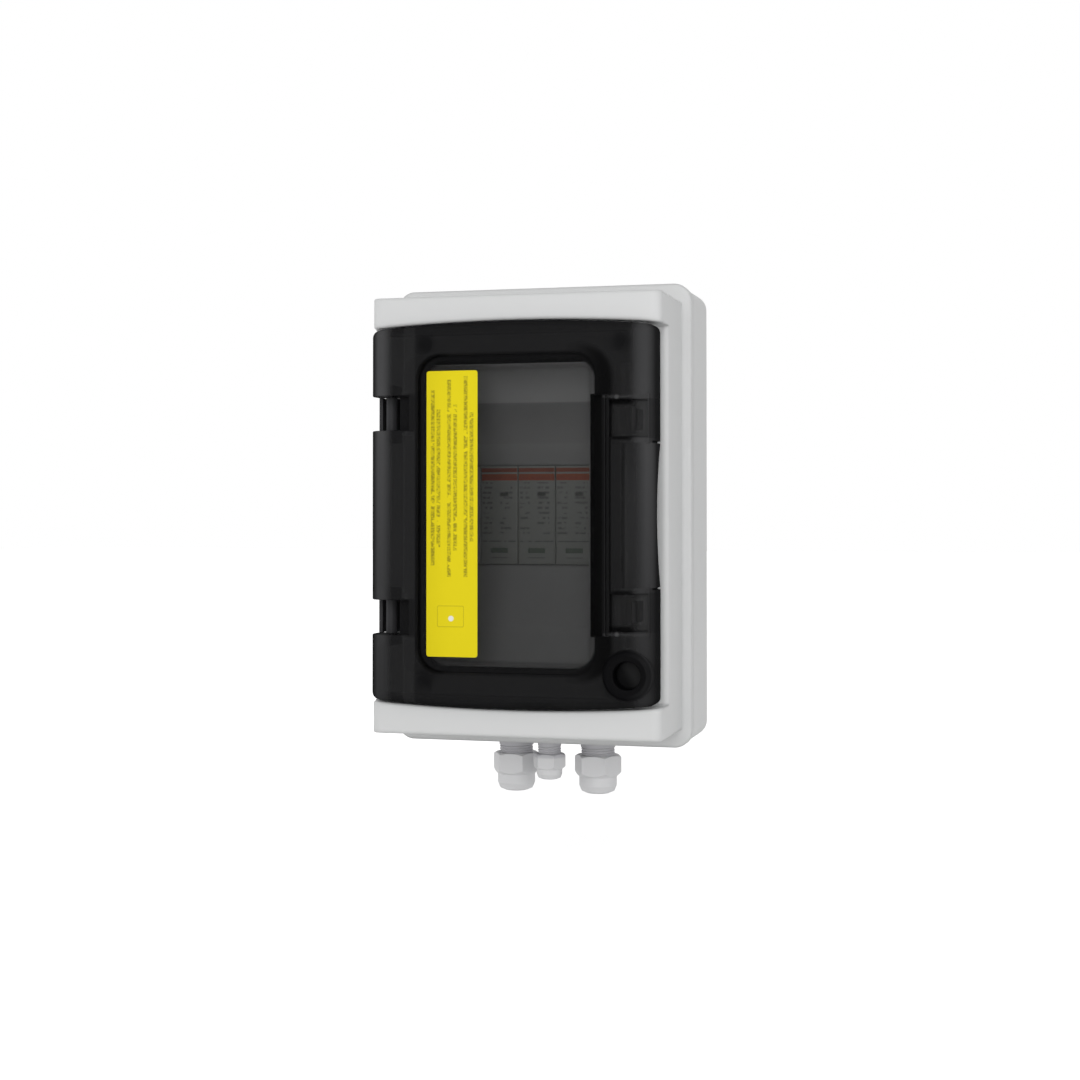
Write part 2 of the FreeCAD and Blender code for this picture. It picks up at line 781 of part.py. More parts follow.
def make_arrester():
    """The surge arrester's base with claws for the rail and a terminal block at each end."""
    base = Solid("arrester_base")
    reach = size.arrester_height / 2
    slack = size.module_clearance
    claw = size.rail_height / 2 + slack
    hook = rail_front - size.rail_sheet - slack
    left = arrester_left + slack / 2
    tooth = size.claw_reach
    outline = [(rail_front, claw), (hook, claw), (hook, claw - tooth), (hook - size.claw_lip, claw - tooth),
               (hook - size.claw_lip, claw + tooth), (rail_front, claw + tooth), (rail_front, reach),
               (size.arrester_shoulder, reach), (size.arrester_shoulder, nose_half + slack),
               (size.arrester_floor, nose_half + slack)]
    mirror = [(depth, -level) for depth, level in reversed(outline)]
    drawing = base.side(left).polygon([(-depth, level) for depth, level in outline + mirror])
    base.pad(drawing, arrester_width - slack)
    cages = {end: base.plan(reach if end > 0 else -reach) for end in (-1, 1)}
    wells = base.front(size.arrester_shoulder)
    half = size.terminal_size / 2 + size.gland_clearance
    middle = (size.arrester_floor + size.arrester_shoulder) / 2
    for pole in range(3):
        across = arrester_left + size.module_pitch * (pole + 0.5)
        for end in (-1, 1):
            cages[end].rectangle(across - half, across + half, -middle - half, half - middle)
            level = end * (reach - size.terminal_size)
            wells.circle(across, level, size.terminal_screw + size.gland_clearance)
    for end, cage in cages.items():
        base.pocket(cage, size.terminal_size * 1.6, end < 0)
    base.pocket(wells, size.arrester_shoulder - middle)


def make_terminals():
    """Brass clamps in the arrester's cages and the screws that close them."""
    clamps = []
    screws = []
    half = size.terminal_size / 2
    reach = size.arrester_height / 2
    middle = (size.arrester_floor + size.arrester_shoulder) / 2
    for pole in range(3):
        across = arrester_left + size.module_pitch * (pole + 0.5)
        for end in (-1, 1):
            level = end * (reach - size.terminal_size)
            name = f"{'upper' if end > 0 else 'lower'}_{pole + 1}"
            block = simple_box(f"clamp_block_{name}", (across - half, -middle - half, level - half),
                               (across + half, half - middle, level + half))
            bore = simple_box(f"clamp_bore_{name}",
                              (across - half * 0.6, -middle - half * 0.5, level - size.terminal_size),
                              (across + half * 0.6, half * 0.6 - middle, level + size.terminal_size))
            clamps.append(combine("Cut", f"clamp_{name}", block, bore))
            screws.append(slotted_screw(f"terminal_screw_{name}", size.terminal_screw, size.terminal_screw,
                                        size.terminal_screw * 0.6, size.terminal_screw * 2, across,
                                        middle + half + size.terminal_screw * 2, level))
    group("terminal_clamps", clamps)
    group("terminal_screws", screws)


def make_cartridge(number):
    """A plug-in cartridge with grip steps at both ends and a sunk status window."""
    cartridge = Solid(f"arrester_cartridge_{number}")
    slack = size.module_clearance
    left = arrester_left + size.module_pitch * (number - 1) + slack / 2
    seat = size.arrester_floor + slack / 2
    grip = size.arrester_shoulder + size.grip_width
    reach = nose_half - slack / 2
    notch = reach - size.grip_depth
    outline = [(seat, reach), (grip, reach), (grip, notch), (grip + size.grip_width, notch),
               (grip + size.grip_width, reach), (size.module_front, reach)]
    mirror = [(depth, -level) for depth, level in reversed(outline)]
    drawing = cartridge.side(left).polygon([(-depth, level) for depth, level in outline + mirror])
    cartridge.pad(drawing, size.module_pitch - slack)
    cartridge.fillet(size.module_round, lambda edge: flat_at(edge, "Y", -size.module_front))
    middle = left + (size.module_pitch - slack) / 2
    sight = cartridge.front(size.module_front)
    low = -nose_half + size.status_height * 2
    sight.rectangle(middle - size.status_width / 2, middle + size.status_width / 2,
                    low, low + size.status_height)
    cartridge.pocket(sight, size.status_sink)


def make_blank():
    """The filler that closes the fourth module place of the window."""
    blank = Solid("module_blank")
    slack = size.module_clearance
    left = slack / 2 - size.module_left
    right = size.module_pitch - size.module_left - slack / 2
    reach = nose_half - slack / 2
    wall = size.blank_wall
    lip = size.blank_lip
    back = size.window_depth - size.cover_wall
    root = back - size.blank_root
    plate = blank.front(root).rectangle(left, right, -reach, reach)
    blank.pad(plate, size.module_front - root)
    blank.fillet(size.module_round, lambda edge: flat_at(edge, "Y", -size.module_front))
    room = blank.front(root).rectangle(left + wall, right - wall, wall - reach, reach - wall)
    blank.pocket(room, size.module_front - root - wall, True)
    lips = blank.front(back - lip - size.gland_clearance)
    for end in (-1, 1):
        low, high = sorted((end * (reach - lip / 4), end * (reach + lip)), key=lambda item: item.value)
        lips.rectangle(left + 2 * wall, right - 2 * wall, low, high)
    blank.pad(lips, lip)


def make_earth_bar():
    """The brass earth bar on its moulded support, with a row of clamp screws."""
    half = size.earth_width / 2
    level = size.earth_level
    depth = size.earth_thickness
    support = Solid("earth_bar_support")
    foot = support.front(size.base_wall).rectangle(-half, half, level - depth / 2, level + depth / 2)
    support.pad(foot, size.earth_depth - size.base_wall)
    support.pocket(support.side(half - depth).rectangle(-size.earth_depth + 2.5, Size.of(1) - size.base_wall,
                                                        level - depth, level + depth), 2 * half - 2 * depth)
    bar = Solid("earth_bar")
    blank = bar.front(size.earth_depth).rectangle(-half, half, level - depth / 2, level + depth / 2)
    bar.pad(blank, depth)
    ways = int(SIZES["earth_ways"])
    pitch = size.earth_width / size.earth_ways
    entries = bar.plan(level + depth / 2)
    bores = bar.front(size.earth_depth + depth)
    screws = []
    for way in range(ways):
        across = pitch * (way + 0.5) - half
        entries.circle(across, -size.earth_depth - depth / 2, depth * 0.3)
        bores.circle(across, level, depth * 0.2)
        screws.append(slotted_screw(f"earth_screw_{way + 1}", depth * 0.3, depth * 0.3, depth * 0.19,
                                    depth * 0.35, across, size.earth_depth + depth, level))
    bar.pocket(entries, depth)
    bar.pocket(bores, depth / 2)
    group("earth_bar_screws", screws)


def make_door():
    """The smoked door: a bowed shell with a sunk pane, hinge lugs, latch zones and a lock boss."""
    door = Solid("door")
    left = door_left
    right = door_right
    depth = size.door_front - size.door_back
    sweep = size.door_side_round
    profile = door.plan(door_bottom)
    profile.rectangle(left, right, -size.door_front, -size.door_back)
    door.pad(profile, door_top - door_bottom)
    door.fillet(sweep, lambda edge: straight(edge, "Z") and flat_at(edge, "Y", -size.door_front))
    trim = door.front(size.door_front + 1)
    trim.rectangle(left - 5, right + 5, door_bottom - 5, door_top + 5)
    trim.arched(left, right, door_bottom, door_top, size.door_rise)
    door.pocket(trim, depth + 2)
    ends = (door_top - size.door_rise, size.door_rise + door_bottom)
    door.fillet(size.door_edge_round,
                lambda edge: any(straight(edge, "Y") and flat_at(edge, "Z", level) for level in ends))
    hollow_door(door)
    sink_pane(door)
    carve_left(door)
    carve_right(door)
    add_lock_boss(door)


def hollow_door(door):
    """Hollow the door from behind, leaving its front wall, its sides and its bowed ends."""
    left = door_left + size.door_wall
    right = door_right - size.door_wall
    low = door_bottom + size.door_rise + size.door_wall
    high = door_top - size.door_rise - size.door_wall
    turn = size.door_side_round - size.door_wall
    room = door.plan(high)
    room.rounded(left, right, -door_inner, turn * 2 - size.door_back, turn)
    door.pocket(room, high - low)
    brim = door.front(size.door_back - 1)
    brim.rectangle(left, right, door_bottom - 1, door_top + 1)
    door.pocket(brim, size.door_rim - size.door_back + 1, True)


def sink_pane(door):
    """Set the pane back in the frame behind a sloped border, with the rib that carries the gasket."""
    slope = size.pane_slope
    left = slope - size.pane_left
    right = size.pane_right - slope
    low = slope - size.pane_bottom
    high = size.pane_top - slope
    turn = size.pane_corner - slope
    edge = size.door_wall
    back = door.front(pane_back)
    back.rounded(left - edge, right + edge, low - edge, high + edge, turn + edge)
    door.pad(back, door_inner - pane_back)
    door.pocket(door.front(size.door_front).rounded(left, right, low, high, turn), size.pane_sink)
    door.chamfer(slope, lambda edge: flat_at(edge, "Y", -size.door_front)
                 and edge.BoundBox.XMin > left.value - 0.1 and edge.BoundBox.XMax < right.value + 0.1
                 and edge.BoundBox.ZMin > low.value - 0.1 and edge.BoundBox.ZMax < high.value + 0.1)
    foot = size.shelf_depth + size.gasket_thickness + size.pin_clearance
    ring = door.front(foot)
    gasket_outline(ring)
    door.pad(ring, pane_back - foot + size.door_wall / 2)
    bar = door.front(pane_front - size.door_wall / 2)
    bar.rectangle(size.bar_left, size.bar_right, -size.bar_height / 2, size.bar_height / 2)
    door.pad(bar, size.pane_sink + size.bar_rise + size.door_wall / 2)
    front = size.door_front + size.bar_rise
    door.fillet(size.bar_rise * 0.9, lambda edge: flat_at(edge, "Y", -front))
    rim = (size.bar_right - size.bar_left - size.channel_width - size.ridge_width) / 2
    channel_left = size.bar_left + rim
    ridge_left = channel_left + size.channel_width
    half = size.bar_height / 2 - rim
    channel = door.front(front).rectangle(channel_left, ridge_left, -half, half)
    door.pocket(channel, size.channel_depth)
    step = door.front(front).rectangle(ridge_left + size.ridge_width, size.bar_right + rim, -half, half)
    door.pocket(step, size.ridge_drop)


def gasket_outline(drawing):
    """Draw the door gasket's ring round the module tray's mouth."""
    for grow in (size.gasket_width, Size.of(0)):
        drawing.rounded(-gasket_left - grow, gasket_right + grow, -gasket_top - grow, gasket_top + grow,
                        3 + grow)


def make_door_gasket():
    """The foam ring between the door's rib and the cover's shelf."""
    gasket = Solid("door_gasket")
    ring = gasket.front(size.shelf_depth)
    gasket_outline(ring)
    gasket.pad(ring, size.gasket_thickness)


def lug_outline():
    """Plan of a hinge lug, whose outer corner follows the door's rounded side inside its wall."""
    sweep = size.door_side_round
    turn = sweep - size.door_wall / 2
    outline = [(door_left + sweep - turn, -size.door_back)]
    for degrees in (0, 30, 60, 90):
        across = turn * round(math.cos(math.radians(degrees)), 9)
        forward = turn * round(math.sin(math.radians(degrees)), 9)
        outline.append((door_left + sweep - across, sweep - size.door_front - forward))
    reach = hinge_x + size.lug_reach
    return outline + [(reach, size.door_wall / 2 - size.door_front), (reach, -size.door_back)]


def carve_left(door):
    """Open the two hinge pockets and add the lugs that hold the hinge pins."""
    far = door_left - 1
    edge = size.knuckle_edge - cover_side
    inner = -size.pocket_right
    wall = size.door_wall
    half = size.pocket_height / 2
    floor = door.front(size.door_front - size.pocket_sink - wall)
    for sign in (-1, 1):
        level = sign * size.hinge_level
        floor.rectangle(edge, inner + wall, level - half - wall, level + half + wall)
    door.pad(floor, size.pocket_sink + wall / 4)
    for sign in (-1, 1):
        level = sign * size.hinge_level
        for low in (level + half, level - half - size.lug_height):
            door.pad(door.plan(low).polygon(lug_outline()), size.lug_height)
    opened = door.front(size.door_front + 1)
    recess = door.front(size.door_front + 1)
    for sign in (-1, 1):
        level = sign * size.hinge_level
        opened.rectangle(far, edge, level - half, level + half)
        recess.rectangle(edge - 0.5, inner, level - half, level + half)
    door.pocket(opened, size.door_front - size.door_back + 2)
    door.pocket(recess, size.pocket_sink + 1)
    door.fillet(size.pocket_edge_round, lambda item: flat_at(item, "Y", -size.door_front)
                and straight(item, "X") and item.BoundBox.XMax < inner.value + 0.1)
    bore = door.plan(size.hinge_level + half + size.lug_height + 1)
    bore.circle(hinge_x, hinge_y, size.hinge_pin)
    door.pocket(bore, 2 * size.hinge_level + 2 * half + 2 * size.lug_height + 2)


def carve_right(door):
    """Cut the see-through latch zones, the slits, the groove and the finger scoop, and add the fingers."""
    wall = size.door_wall
    half = size.zone_height / 2
    middle = size.scoop_height / 2
    left = size.bar_right + 1
    right = door_right - size.zone_side
    beds = door.front(size.door_front - size.zone_sink - wall)
    zones = door.front(size.door_front + 1)
    slits = door.front(size.door_front + 1)
    fingers = door.front(size.catch_depth - size.knuckle_radius)
    near_side = catch_x + size.knuckle_radius + size.end_play
    for sign in (-1, 1):
        level = sign * size.catch_level
        beds.rectangle(left - wall, right + wall / 4, level - half - wall, level + half + wall)
        zones.rectangle(left, right, level - half, level + half)
        slits.rectangle(door_right - size.slit_depth, door_right + 1,
                        sign * middle - size.slit_width / 2, sign * middle + size.slit_width / 2)
        fingers.rectangle(near_side, near_side + size.catch_finger,
                          level - size.catch_height / 3, level + size.catch_height / 3)
    door.pad(beds, size.zone_sink + wall / 4)
    door.pocket(zones, size.zone_sink + 1)
    door.pocket(slits, size.door_front - size.door_back + 2)
    door.pad(fingers, door_inner - size.catch_depth + size.knuckle_radius + wall / 2)
    groove = door.front(size.door_front)
    groove.rectangle(size.grip_line_x, size.grip_line_x + size.grip_line_width,
                     -size.grip_line_half, size.grip_line_half)
    door.pocket(groove, size.grip_line_depth)
    radius = (middle * middle + size.scoop_depth * size.scoop_depth) / (2 * size.scoop_depth)
    scoop = door.side(door_right + 1)
    scoop.circle(radius - size.door_back - size.scoop_depth, 0, radius)
    door.pocket(scoop, size.door_side_round + 1)


def add_lock_boss(door):
    """Raise the round boss in which a lock can be fitted, with its blind recess."""
    across = lock_x
    level = lock_z
    top = size.door_front + size.lock_rise
    wall = size.door_wall
    boss = door.front(door_inner - wall / 2).circle(across, level, size.lock_base)
    door.pad(boss, wall * 1.5 + size.lock_rise)
    door.chamfer(size.lock_rise * 0.9, lambda edge: flat_at(edge, "Y", -top))
    cup = door.front(top - size.lock_sink - wall).circle(across, level, size.lock_bore + wall)
    door.pad(cup, size.lock_sink)
    door.pocket(door.front(top).circle(across, level, size.lock_bore), size.lock_sink)
    door.fillet(Size.of(0.6), lambda edge: flat_at(edge, "Y", -top))


def knuckle(name, across, depth, level, tall):
    """A moulded bracket: foot and post under a round knuckle, with a peg in the cover."""
    bracket = Solid(name)
    low = level - tall / 2
    floor = size.rebate_depth
    radius = size.knuckle_radius
    foot = bracket.plan(low)
    foot.rectangle(across - radius, across + radius, -floor - size.foot_height, -floor)
    bracket.pad(foot, tall)
    post = bracket.plan(low).rectangle(across - radius / 2, across + radius / 2, -depth, -floor)
    bracket.pad(post, tall)
    bracket.pad(bracket.plan(low).circle(across, -depth, radius), tall)
    bracket.pad(bracket.front(floor).circle(across, level, size.hinge_pin), size.cover_wall, True)
    return bracket


def open_knuckle(bracket, across, depth, level, tall):
    """Give a hinge bracket its outer cheek and the running bore for the pin."""
    low = level - tall / 2
    edge = door_left + size.cheek_inset
    cheek = bracket.plan(low)
    cheek.rectangle(edge, edge + size.cheek_thickness, -depth - size.cheek_rise, -size.rebate_depth)
    bracket.pad(cheek, tall)
    foot = bracket.plan(low)
    foot.rectangle(edge, size.left_rebate - cover_side - size.end_play,
                   -size.rebate_depth - size.foot_height, -size.rebate_depth)
    bracket.pad(foot, tall)
    hole = bracket.plan(low + tall).circle(across, -depth, size.hinge_pin + size.pin_clearance)
    bracket.pocket(hole, tall)


def make_hinges():
    """Two hinge brackets on the cover, the pins that the door turns on, and two catches."""
    knuckle_height = size.pocket_height - 2 * size.end_play
    pin_length = size.pocket_height + 2 * size.lug_height
    for word, sign in (("upper", 1), ("lower", -1)):
        level = sign * size.hinge_level
        bracket = knuckle(f"{word}_hinge_bracket", hinge_x, size.hinge_depth, level, knuckle_height)
        open_knuckle(bracket, hinge_x, size.hinge_depth, level, knuckle_height)
        knuckle(f"{word}_catch", catch_x, size.catch_depth, sign * size.catch_level, size.catch_height)
        pin = simple_rod(f"{word}_hinge_pin", size.hinge_pin, (hinge_x, hinge_y, level - pin_length / 2),
                         pin_length, UPWARD)
        pin.Label = f"{word}_hinge_pin"
        parts[pin.Label] = pin


def make_strip():
    """The plain strip stuck on the pane."""
    strip = Solid("label_strip")
    outline = strip.front(pane_front).rounded(-size.strip_left, size.strip_width - size.strip_left,
                                              -size.strip_bottom, size.strip_height - size.strip_bottom, 1.2)
    strip.pad(outline, size.strip_thickness)


def hexagon(drawing, flats):
    """Draw a hexagon about the axis with a flat to the front."""
    corner = flats / math.sqrt(3)
    points = []
    for step in range(6):
        angle = math.radians(60 * step)
        points.append((corner * round(math.cos(angle), 9), corner * round(math.sin(angle), 9)))
    drawing.polygon(points)
    return drawing


def gland_piece(word, kind, name):
    """Start a gland's piece about its own axis, with the box's outer face at zero height."""
    solid = Solid(f"{word}_gland_{name}")
    across, depth = GLANDS[word][1:]
    bind(solid.body, "Placement.Base.x", across)
    bind(solid.body, "Placement.Base.y", -depth)
    bind(solid.body, "Placement.Base.z", gland_face)
    return solid


def make_gland(word):
    """One cable gland: threaded body, outer washer, dome nut, sealing sleeve and inner locknut."""
    kind = GLANDS[word][0]
    collar, stem, thread, flats, dome, cable, drop, hex_height, dome_height = (
        gland_size(kind, item) for item in
        ("collar", "stem", "thread", "flats", "dome", "cable", "drop", "hex_height", "dome_height"))
    wall = size.base_wall
    washer = size.gland_washer
    nut_top = -drop - size.neck_height
    dome_top = nut_top - hex_height
    dome_end = dome_top - dome_height
    screwed = nut_top - hex_height * 0.8
    stem_top = wall + size.locknut_height + 1
    slack = size.gland_clearance
    sleeve = thread - 1.4
    shelf = nut_top - hex_height * 0.3
    body = gland_piece(word, kind, "body")
    body.turned("Revolution", body.front(Size.of(0)).polygon([
        (cable + 0.5, stem_top), (stem, stem_top), (stem, -washer), (collar, -washer), (collar, -drop),
        (thread, -drop), (thread, screwed), (sleeve, screwed), (sleeve, shelf), (cable + 0.5, shelf)]))
    ring = gland_piece(word, kind, "washer")
    section = ring.front(Size.of(0)).rectangle(stem + slack, collar - 0.3, -washer, Size.of(0))
    ring.turned("Revolution", section)
    seal = gland_piece(word, kind, "seal")
    lip = dome_end + 1.2
    seal.turned("Revolution", seal.front(Size.of(0)).polygon([
        (cable, shelf - slack), (sleeve - slack, shelf - slack), (sleeve - slack, screwed - 1),
        (cable + 1.1, lip), (cable, lip)]))
    make_dome_nut(word, kind, nut_top, dome_top, dome_end, screwed)
    lock = gland_piece(word, kind, "locknut")
    lock.pad(hexagon(lock.plan(wall), 2 * stem + 4), size.locknut_height)
    lock.pocket(lock.plan(wall + size.locknut_height).circle(0, 0, stem + slack / 3), size.locknut_height)


def make_dome_nut(word, kind, nut_top, dome_top, dome_end, screwed):
    """Turn a hexagon bar down to the gland's dome and bore it for the thread and the sleeve."""
    thread, flats, dome, cable = (gland_size(kind, item) for item in ("thread", "flats", "dome", "cable"))
    slack = size.gland_clearance
    corner = flats / math.sqrt(3)
    nut = gland_piece(word, kind, "nut")
    nut.pad(hexagon(nut.plan(dome_end), flats), nut_top - dome_end)
    bevel = corner - flats / 2
    beyond = corner + 2
    bend = dome * 0.42
    nut.turned("Groove", nut.front(Size.of(0)).polygon([
        (corner, dome_top + bevel), (dome, dome_top - bevel / 2), (dome, dome_end + bend),
        (dome - bend * 0.3, dome_end + bend * 0.3), (dome - bend, dome_end),
        (dome - bend, dome_end - 1), (beyond, dome_end - 1), (beyond, dome_top + bevel)]))
    nut.turned("Groove", nut.front(Size.of(0)).polygon([
        (flats / 2, nut_top), (corner, nut_top - bevel * 0.6), (beyond, nut_top - bevel * 0.6),
        (beyond, nut_top + 1), (flats / 2, nut_top + 1)]))
    mouth = cable + 1.3
    nut.turned("Groove", nut.front(Size.of(0)).polygon([
        (Size.of(0), nut_top + 1), (thread + slack / 2, nut_top + 1), (thread + slack / 2, screwed - 0.6),
        (thread - 1.2, screwed - 0.6), (mouth, dome_end + 1.6), (mouth, dome_end - 1),
        (Size.of(0), dome_end - 1)]))


make_base()
make_cover_gasket()
make_front_cover()
make_screws()
make_rail()
make_arrester()
make_terminals()
for pole in (1, 2, 3):
    make_cartridge(pole)
make_blank()
make_earth_bar()
make_door()
make_door_gasket()
make_hinges()
make_strip()
for place in GLANDS:
    make_gland(place)

doc.recompute()
faults = [item.Name for item in doc.Objects if "Invalid" in item.State or "Error" in item.State]
if faults:
    raise ValueError(f"failed objects: {faults}")
for name, item in parts.items():
    if item.Shape.isNull() or not item.Shape.isValid() or not item.Shape.Solids:
        raise ValueError(f"{name} has no valid solid")
os.makedirs("parts", exist_ok=True)
for name, item in parts.items():
    item.Shape.exportStep(f"parts/{name}.step")
print(f"{len(parts)} nodes written")
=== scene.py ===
"""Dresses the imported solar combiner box: its finishes, the gland threads and a studio stage."""

import math
from typing import NamedTuple

import bpy
from mathutils import Matrix, Vector


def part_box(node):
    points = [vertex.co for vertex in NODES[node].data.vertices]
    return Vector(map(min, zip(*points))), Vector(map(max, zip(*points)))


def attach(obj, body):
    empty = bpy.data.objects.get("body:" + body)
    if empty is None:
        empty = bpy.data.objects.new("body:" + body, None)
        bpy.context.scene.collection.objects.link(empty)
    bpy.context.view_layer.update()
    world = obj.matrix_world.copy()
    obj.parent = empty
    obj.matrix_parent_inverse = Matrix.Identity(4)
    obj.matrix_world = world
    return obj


bl_info = {
    "name": "Solar Combiner Box",
    "version": (1, 0, 0),
    "blender": (4, 5, 0),
    "location": "View3D > Sidebar > Combiner Box",
    "description": "Finishes, small parts and stage for a wall-mounted solar combiner box",
    "category": "Object",
}

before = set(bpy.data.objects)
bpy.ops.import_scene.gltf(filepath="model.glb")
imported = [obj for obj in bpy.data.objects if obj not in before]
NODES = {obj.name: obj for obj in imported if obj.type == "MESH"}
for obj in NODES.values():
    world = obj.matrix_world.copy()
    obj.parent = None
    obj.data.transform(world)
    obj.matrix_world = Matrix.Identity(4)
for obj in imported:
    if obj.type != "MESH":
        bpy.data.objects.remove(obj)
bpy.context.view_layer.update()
MM = 0.001
BLACK = (0.0, 0.0, 0.0)
BEVEL_SAMPLES = 6
NOISE_MIDDLE = 0.5
SIDES = ("left", "middle", "right")


class Signal:
    """A number that varies over a surface. Sums, products and comparisons of it add Math nodes."""

    def __init__(self, finish, socket):
        self.finish = finish
        self.socket = socket

    def math(self, operation, *values):
        return self.finish.node("ShaderNodeMath", {"operation": operation}, dict(enumerate(values)))

    def __add__(self, other):
        return self.math("ADD", self, other)

    def __radd__(self, other):
        return self.math("ADD", other, self)

    def __sub__(self, other):
        return self.math("SUBTRACT", self, other)

    def __rsub__(self, other):
        return self.math("SUBTRACT", other, self)

    def __mul__(self, other):
        return self.math("MULTIPLY", self, other)

    def __rmul__(self, other):
        return self.math("MULTIPLY", other, self)

    def __abs__(self):
        return self.math("ABSOLUTE", self)

    def __lt__(self, level):
        return self.math("LESS_THAN", self, level)

    def __mod__(self, period):
        return self.math("FLOORED_MODULO", self, period)

    def at_least(self, level):
        return self.math("MAXIMUM", self, level)

    def at_most(self, level):
        return self.math("MINIMUM", self, level)

    def root(self):
        return self.math("SQRT", self)

    def fade(self, start, end):
        """0 at start, 1 at end, with a smooth step between."""
        return self.finish.node("ShaderNodeMapRange",
                                {"interpolation_type": "SMOOTHSTEP", "clamp": True},
                                {"Value": self, "From Min": start, "From Max": end})


class Finish:
    """A material on Object coordinates, built round one Principled shader."""

    def __init__(self, name):
        self.material = bpy.data.materials.new(name)
        self.material.use_nodes = True
        self.tree = self.material.node_tree
        self.shader = self.tree.nodes["Principled BSDF"]
        self.place = self.node("ShaderNodeTexCoord", {}, {}, "Object")

    def node(self, kind, settings, inputs, output=0):
        """Add any node: its settings first, then the values or links of its sockets."""
        node = self.tree.nodes.new(kind)
        for name, value in settings.items():
            setattr(node, name, value)
        for key, value in inputs.items():
            if isinstance(value, Signal):
                self.tree.links.new(value.socket, node.inputs[key])
            else:
                node.inputs[key].default_value = value
        return Signal(self, node.outputs[output])

    def axes(self):
        """X, Y and Z over the surface, in millimetres."""
        scaled = self.node("ShaderNodeVectorMath", {"operation": "SCALE"},
                           {"Vector": self.place, "Scale": 1 / MM})
        node = self.tree.nodes.new("ShaderNodeSeparateXYZ")
        self.tree.links.new(scaled.socket, node.inputs[0])
        return tuple(Signal(self, socket) for socket in node.outputs)

    def noise(self, scale, detail=2.0, stretch=(1.0, 1.0, 1.0)):
        """Noise from 0 to 1 with about one blob in 1/scale metres."""
        place = self.node("ShaderNodeMapping", {}, {"Vector": self.place, "Scale": stretch})
        return self.node("ShaderNodeTexNoise", {},
                         {"Vector": place, "Scale": scale, "Detail": detail}, "Fac")

    def mix(self, amount, first, second):
        """Blend two colours, each a triple or a signal."""
        node = self.tree.nodes.new("ShaderNodeMix")
        node.data_type = "RGBA"
        for key, value in {"Factor": amount, "A": first, "B": second}.items():
            kind = "VALUE" if key == "Factor" else "RGBA"
            socket = [item for item in node.inputs if item.name == key and item.type == kind][0]
            if isinstance(value, Signal):
                self.tree.links.new(value.socket, socket)
            else:
                socket.default_value = value if key == "Factor" else (*value[:3], 1.0)
        return Signal(self, [item for item in node.outputs if item.type == "RGBA"][0])

    def bump(self, height, relief, edge=0.0):
        """A normal from a height signal and its relief in metres, over edges softened by a radius."""
        inputs = {"Height": height, "Distance": relief, "Strength": 1.0}
        if edge:
            inputs["Normal"] = self.node("ShaderNodeBevel", {"samples": BEVEL_SAMPLES}, {"Radius": edge})
        return self.node("ShaderNodeBump", {}, inputs)

    def surface(self, **sockets):
        """Set the shader's sockets, with spaces written as underscores."""
        for key, value in sockets.items():
            socket = self.shader.inputs[key.replace("_", " ")]
            if isinstance(value, Signal):
                self.tree.links.new(value.socket, socket)
            elif isinstance(value, (float, int)):
                socket.default_value = value
            else:
                socket.default_value = (*value[:3], 1.0)
        return self.material


class Ramp(NamedTuple):
    """A rise from 0 to 1 between two places."""
    start: float
    end: float

    def over(self, value):
        return value.fade(self.start, self.end)


class Span(NamedTuple):
    """1 between two places, 0 outside, with soft ends."""
    low: float
    high: float
    soft: float = 0.05

    def over(self, value):
        rise = value.fade(self.low - self.soft, self.low + self.soft)
        return rise * (1 - value.fade(self.high - self.soft, self.high + self.soft))


class Patch(NamedTuple):
    """1 inside a rectangle seen from the front."""
    across: Span
    up: Span

    def over(self, x, z):
        return self.across.over(x) * self.up.over(z)


class Field(NamedTuple):
    """1 inside a rectangle with round corners, fading to 0 over a soft border."""
    left: float
    right: float
    bottom: float
    top: float
    corner: float
    soft: float

    def over(self, x, z):
        middle, half = (self.left + self.right) / 2, (self.right - self.left) / 2
        centre, rise = (self.bottom + self.top) / 2, (self.top - self.bottom) / 2
        across = (abs(x - middle) - (half - self.corner)).at_least(0.0)
        along = (abs(z - centre) - (rise - self.corner)).at_least(0.0)
        reach = (across * across + along * along).root()
        return 1 - reach.fade(self.corner - self.soft, self.corner + self.soft)


def distance(x, z, point):
    """How far a place of the front is from a point, in millimetres."""
    across, up = point
    return ((x - across) * (x - across) + (z - up) * (z - up)).root()


def total(parts):
    """The sum of some signals."""
    whole = None
    for part in parts:
        whole = part if whole is None else whole + part
    return whole


class Plastic(NamedTuple):
    """A moulded plastic: colour, roughness, grain blobs per metre, relief in metres, mottle and shine."""
    colour: tuple
    roughness: float = 0.45
    grain: float = 1500.0
    relief: float = 1.5e-5
    mottle: float = 0.03
    shine: float = 0.5


SEAL_RUBBER = Plastic((0.02, 0.02, 0.021), 0.75, 900.0, 2e-5, 0.3, 0.3)
GREY_SEAL = Plastic((0.5, 0.5, 0.5), 0.8, 900.0, shine=0.2)
DARK_NYLON = Plastic((0.031, 0.031, 0.033), 0.5, shine=0.12)
MODULE_BASE = Plastic((0.24, 0.25, 0.26))
# The scale and the detail of the faint clouds in a plastic
MOULD_CLOUD = (30.0, 3.0)
GRAIN_DETAIL = 3.0
MOULD_SPREAD = 0.12


def moulded(name, plastic, edge=0.0):
    """A finish with spark-eroded grain and a faint cloudiness, and its colour, roughness and normal."""
    finish = Finish(name)
    cloud = finish.noise(*MOULD_CLOUD)
    fine = finish.noise(plastic.grain, GRAIN_DETAIL)
    darker = tuple(channel * (1 - plastic.mottle) for channel in plastic.colour)
    rough = plastic.roughness + (fine - NOISE_MIDDLE) * MOULD_SPREAD
    return finish, finish.mix(cloud, darker, plastic.colour), rough, finish.bump(fine, plastic.relief, edge)


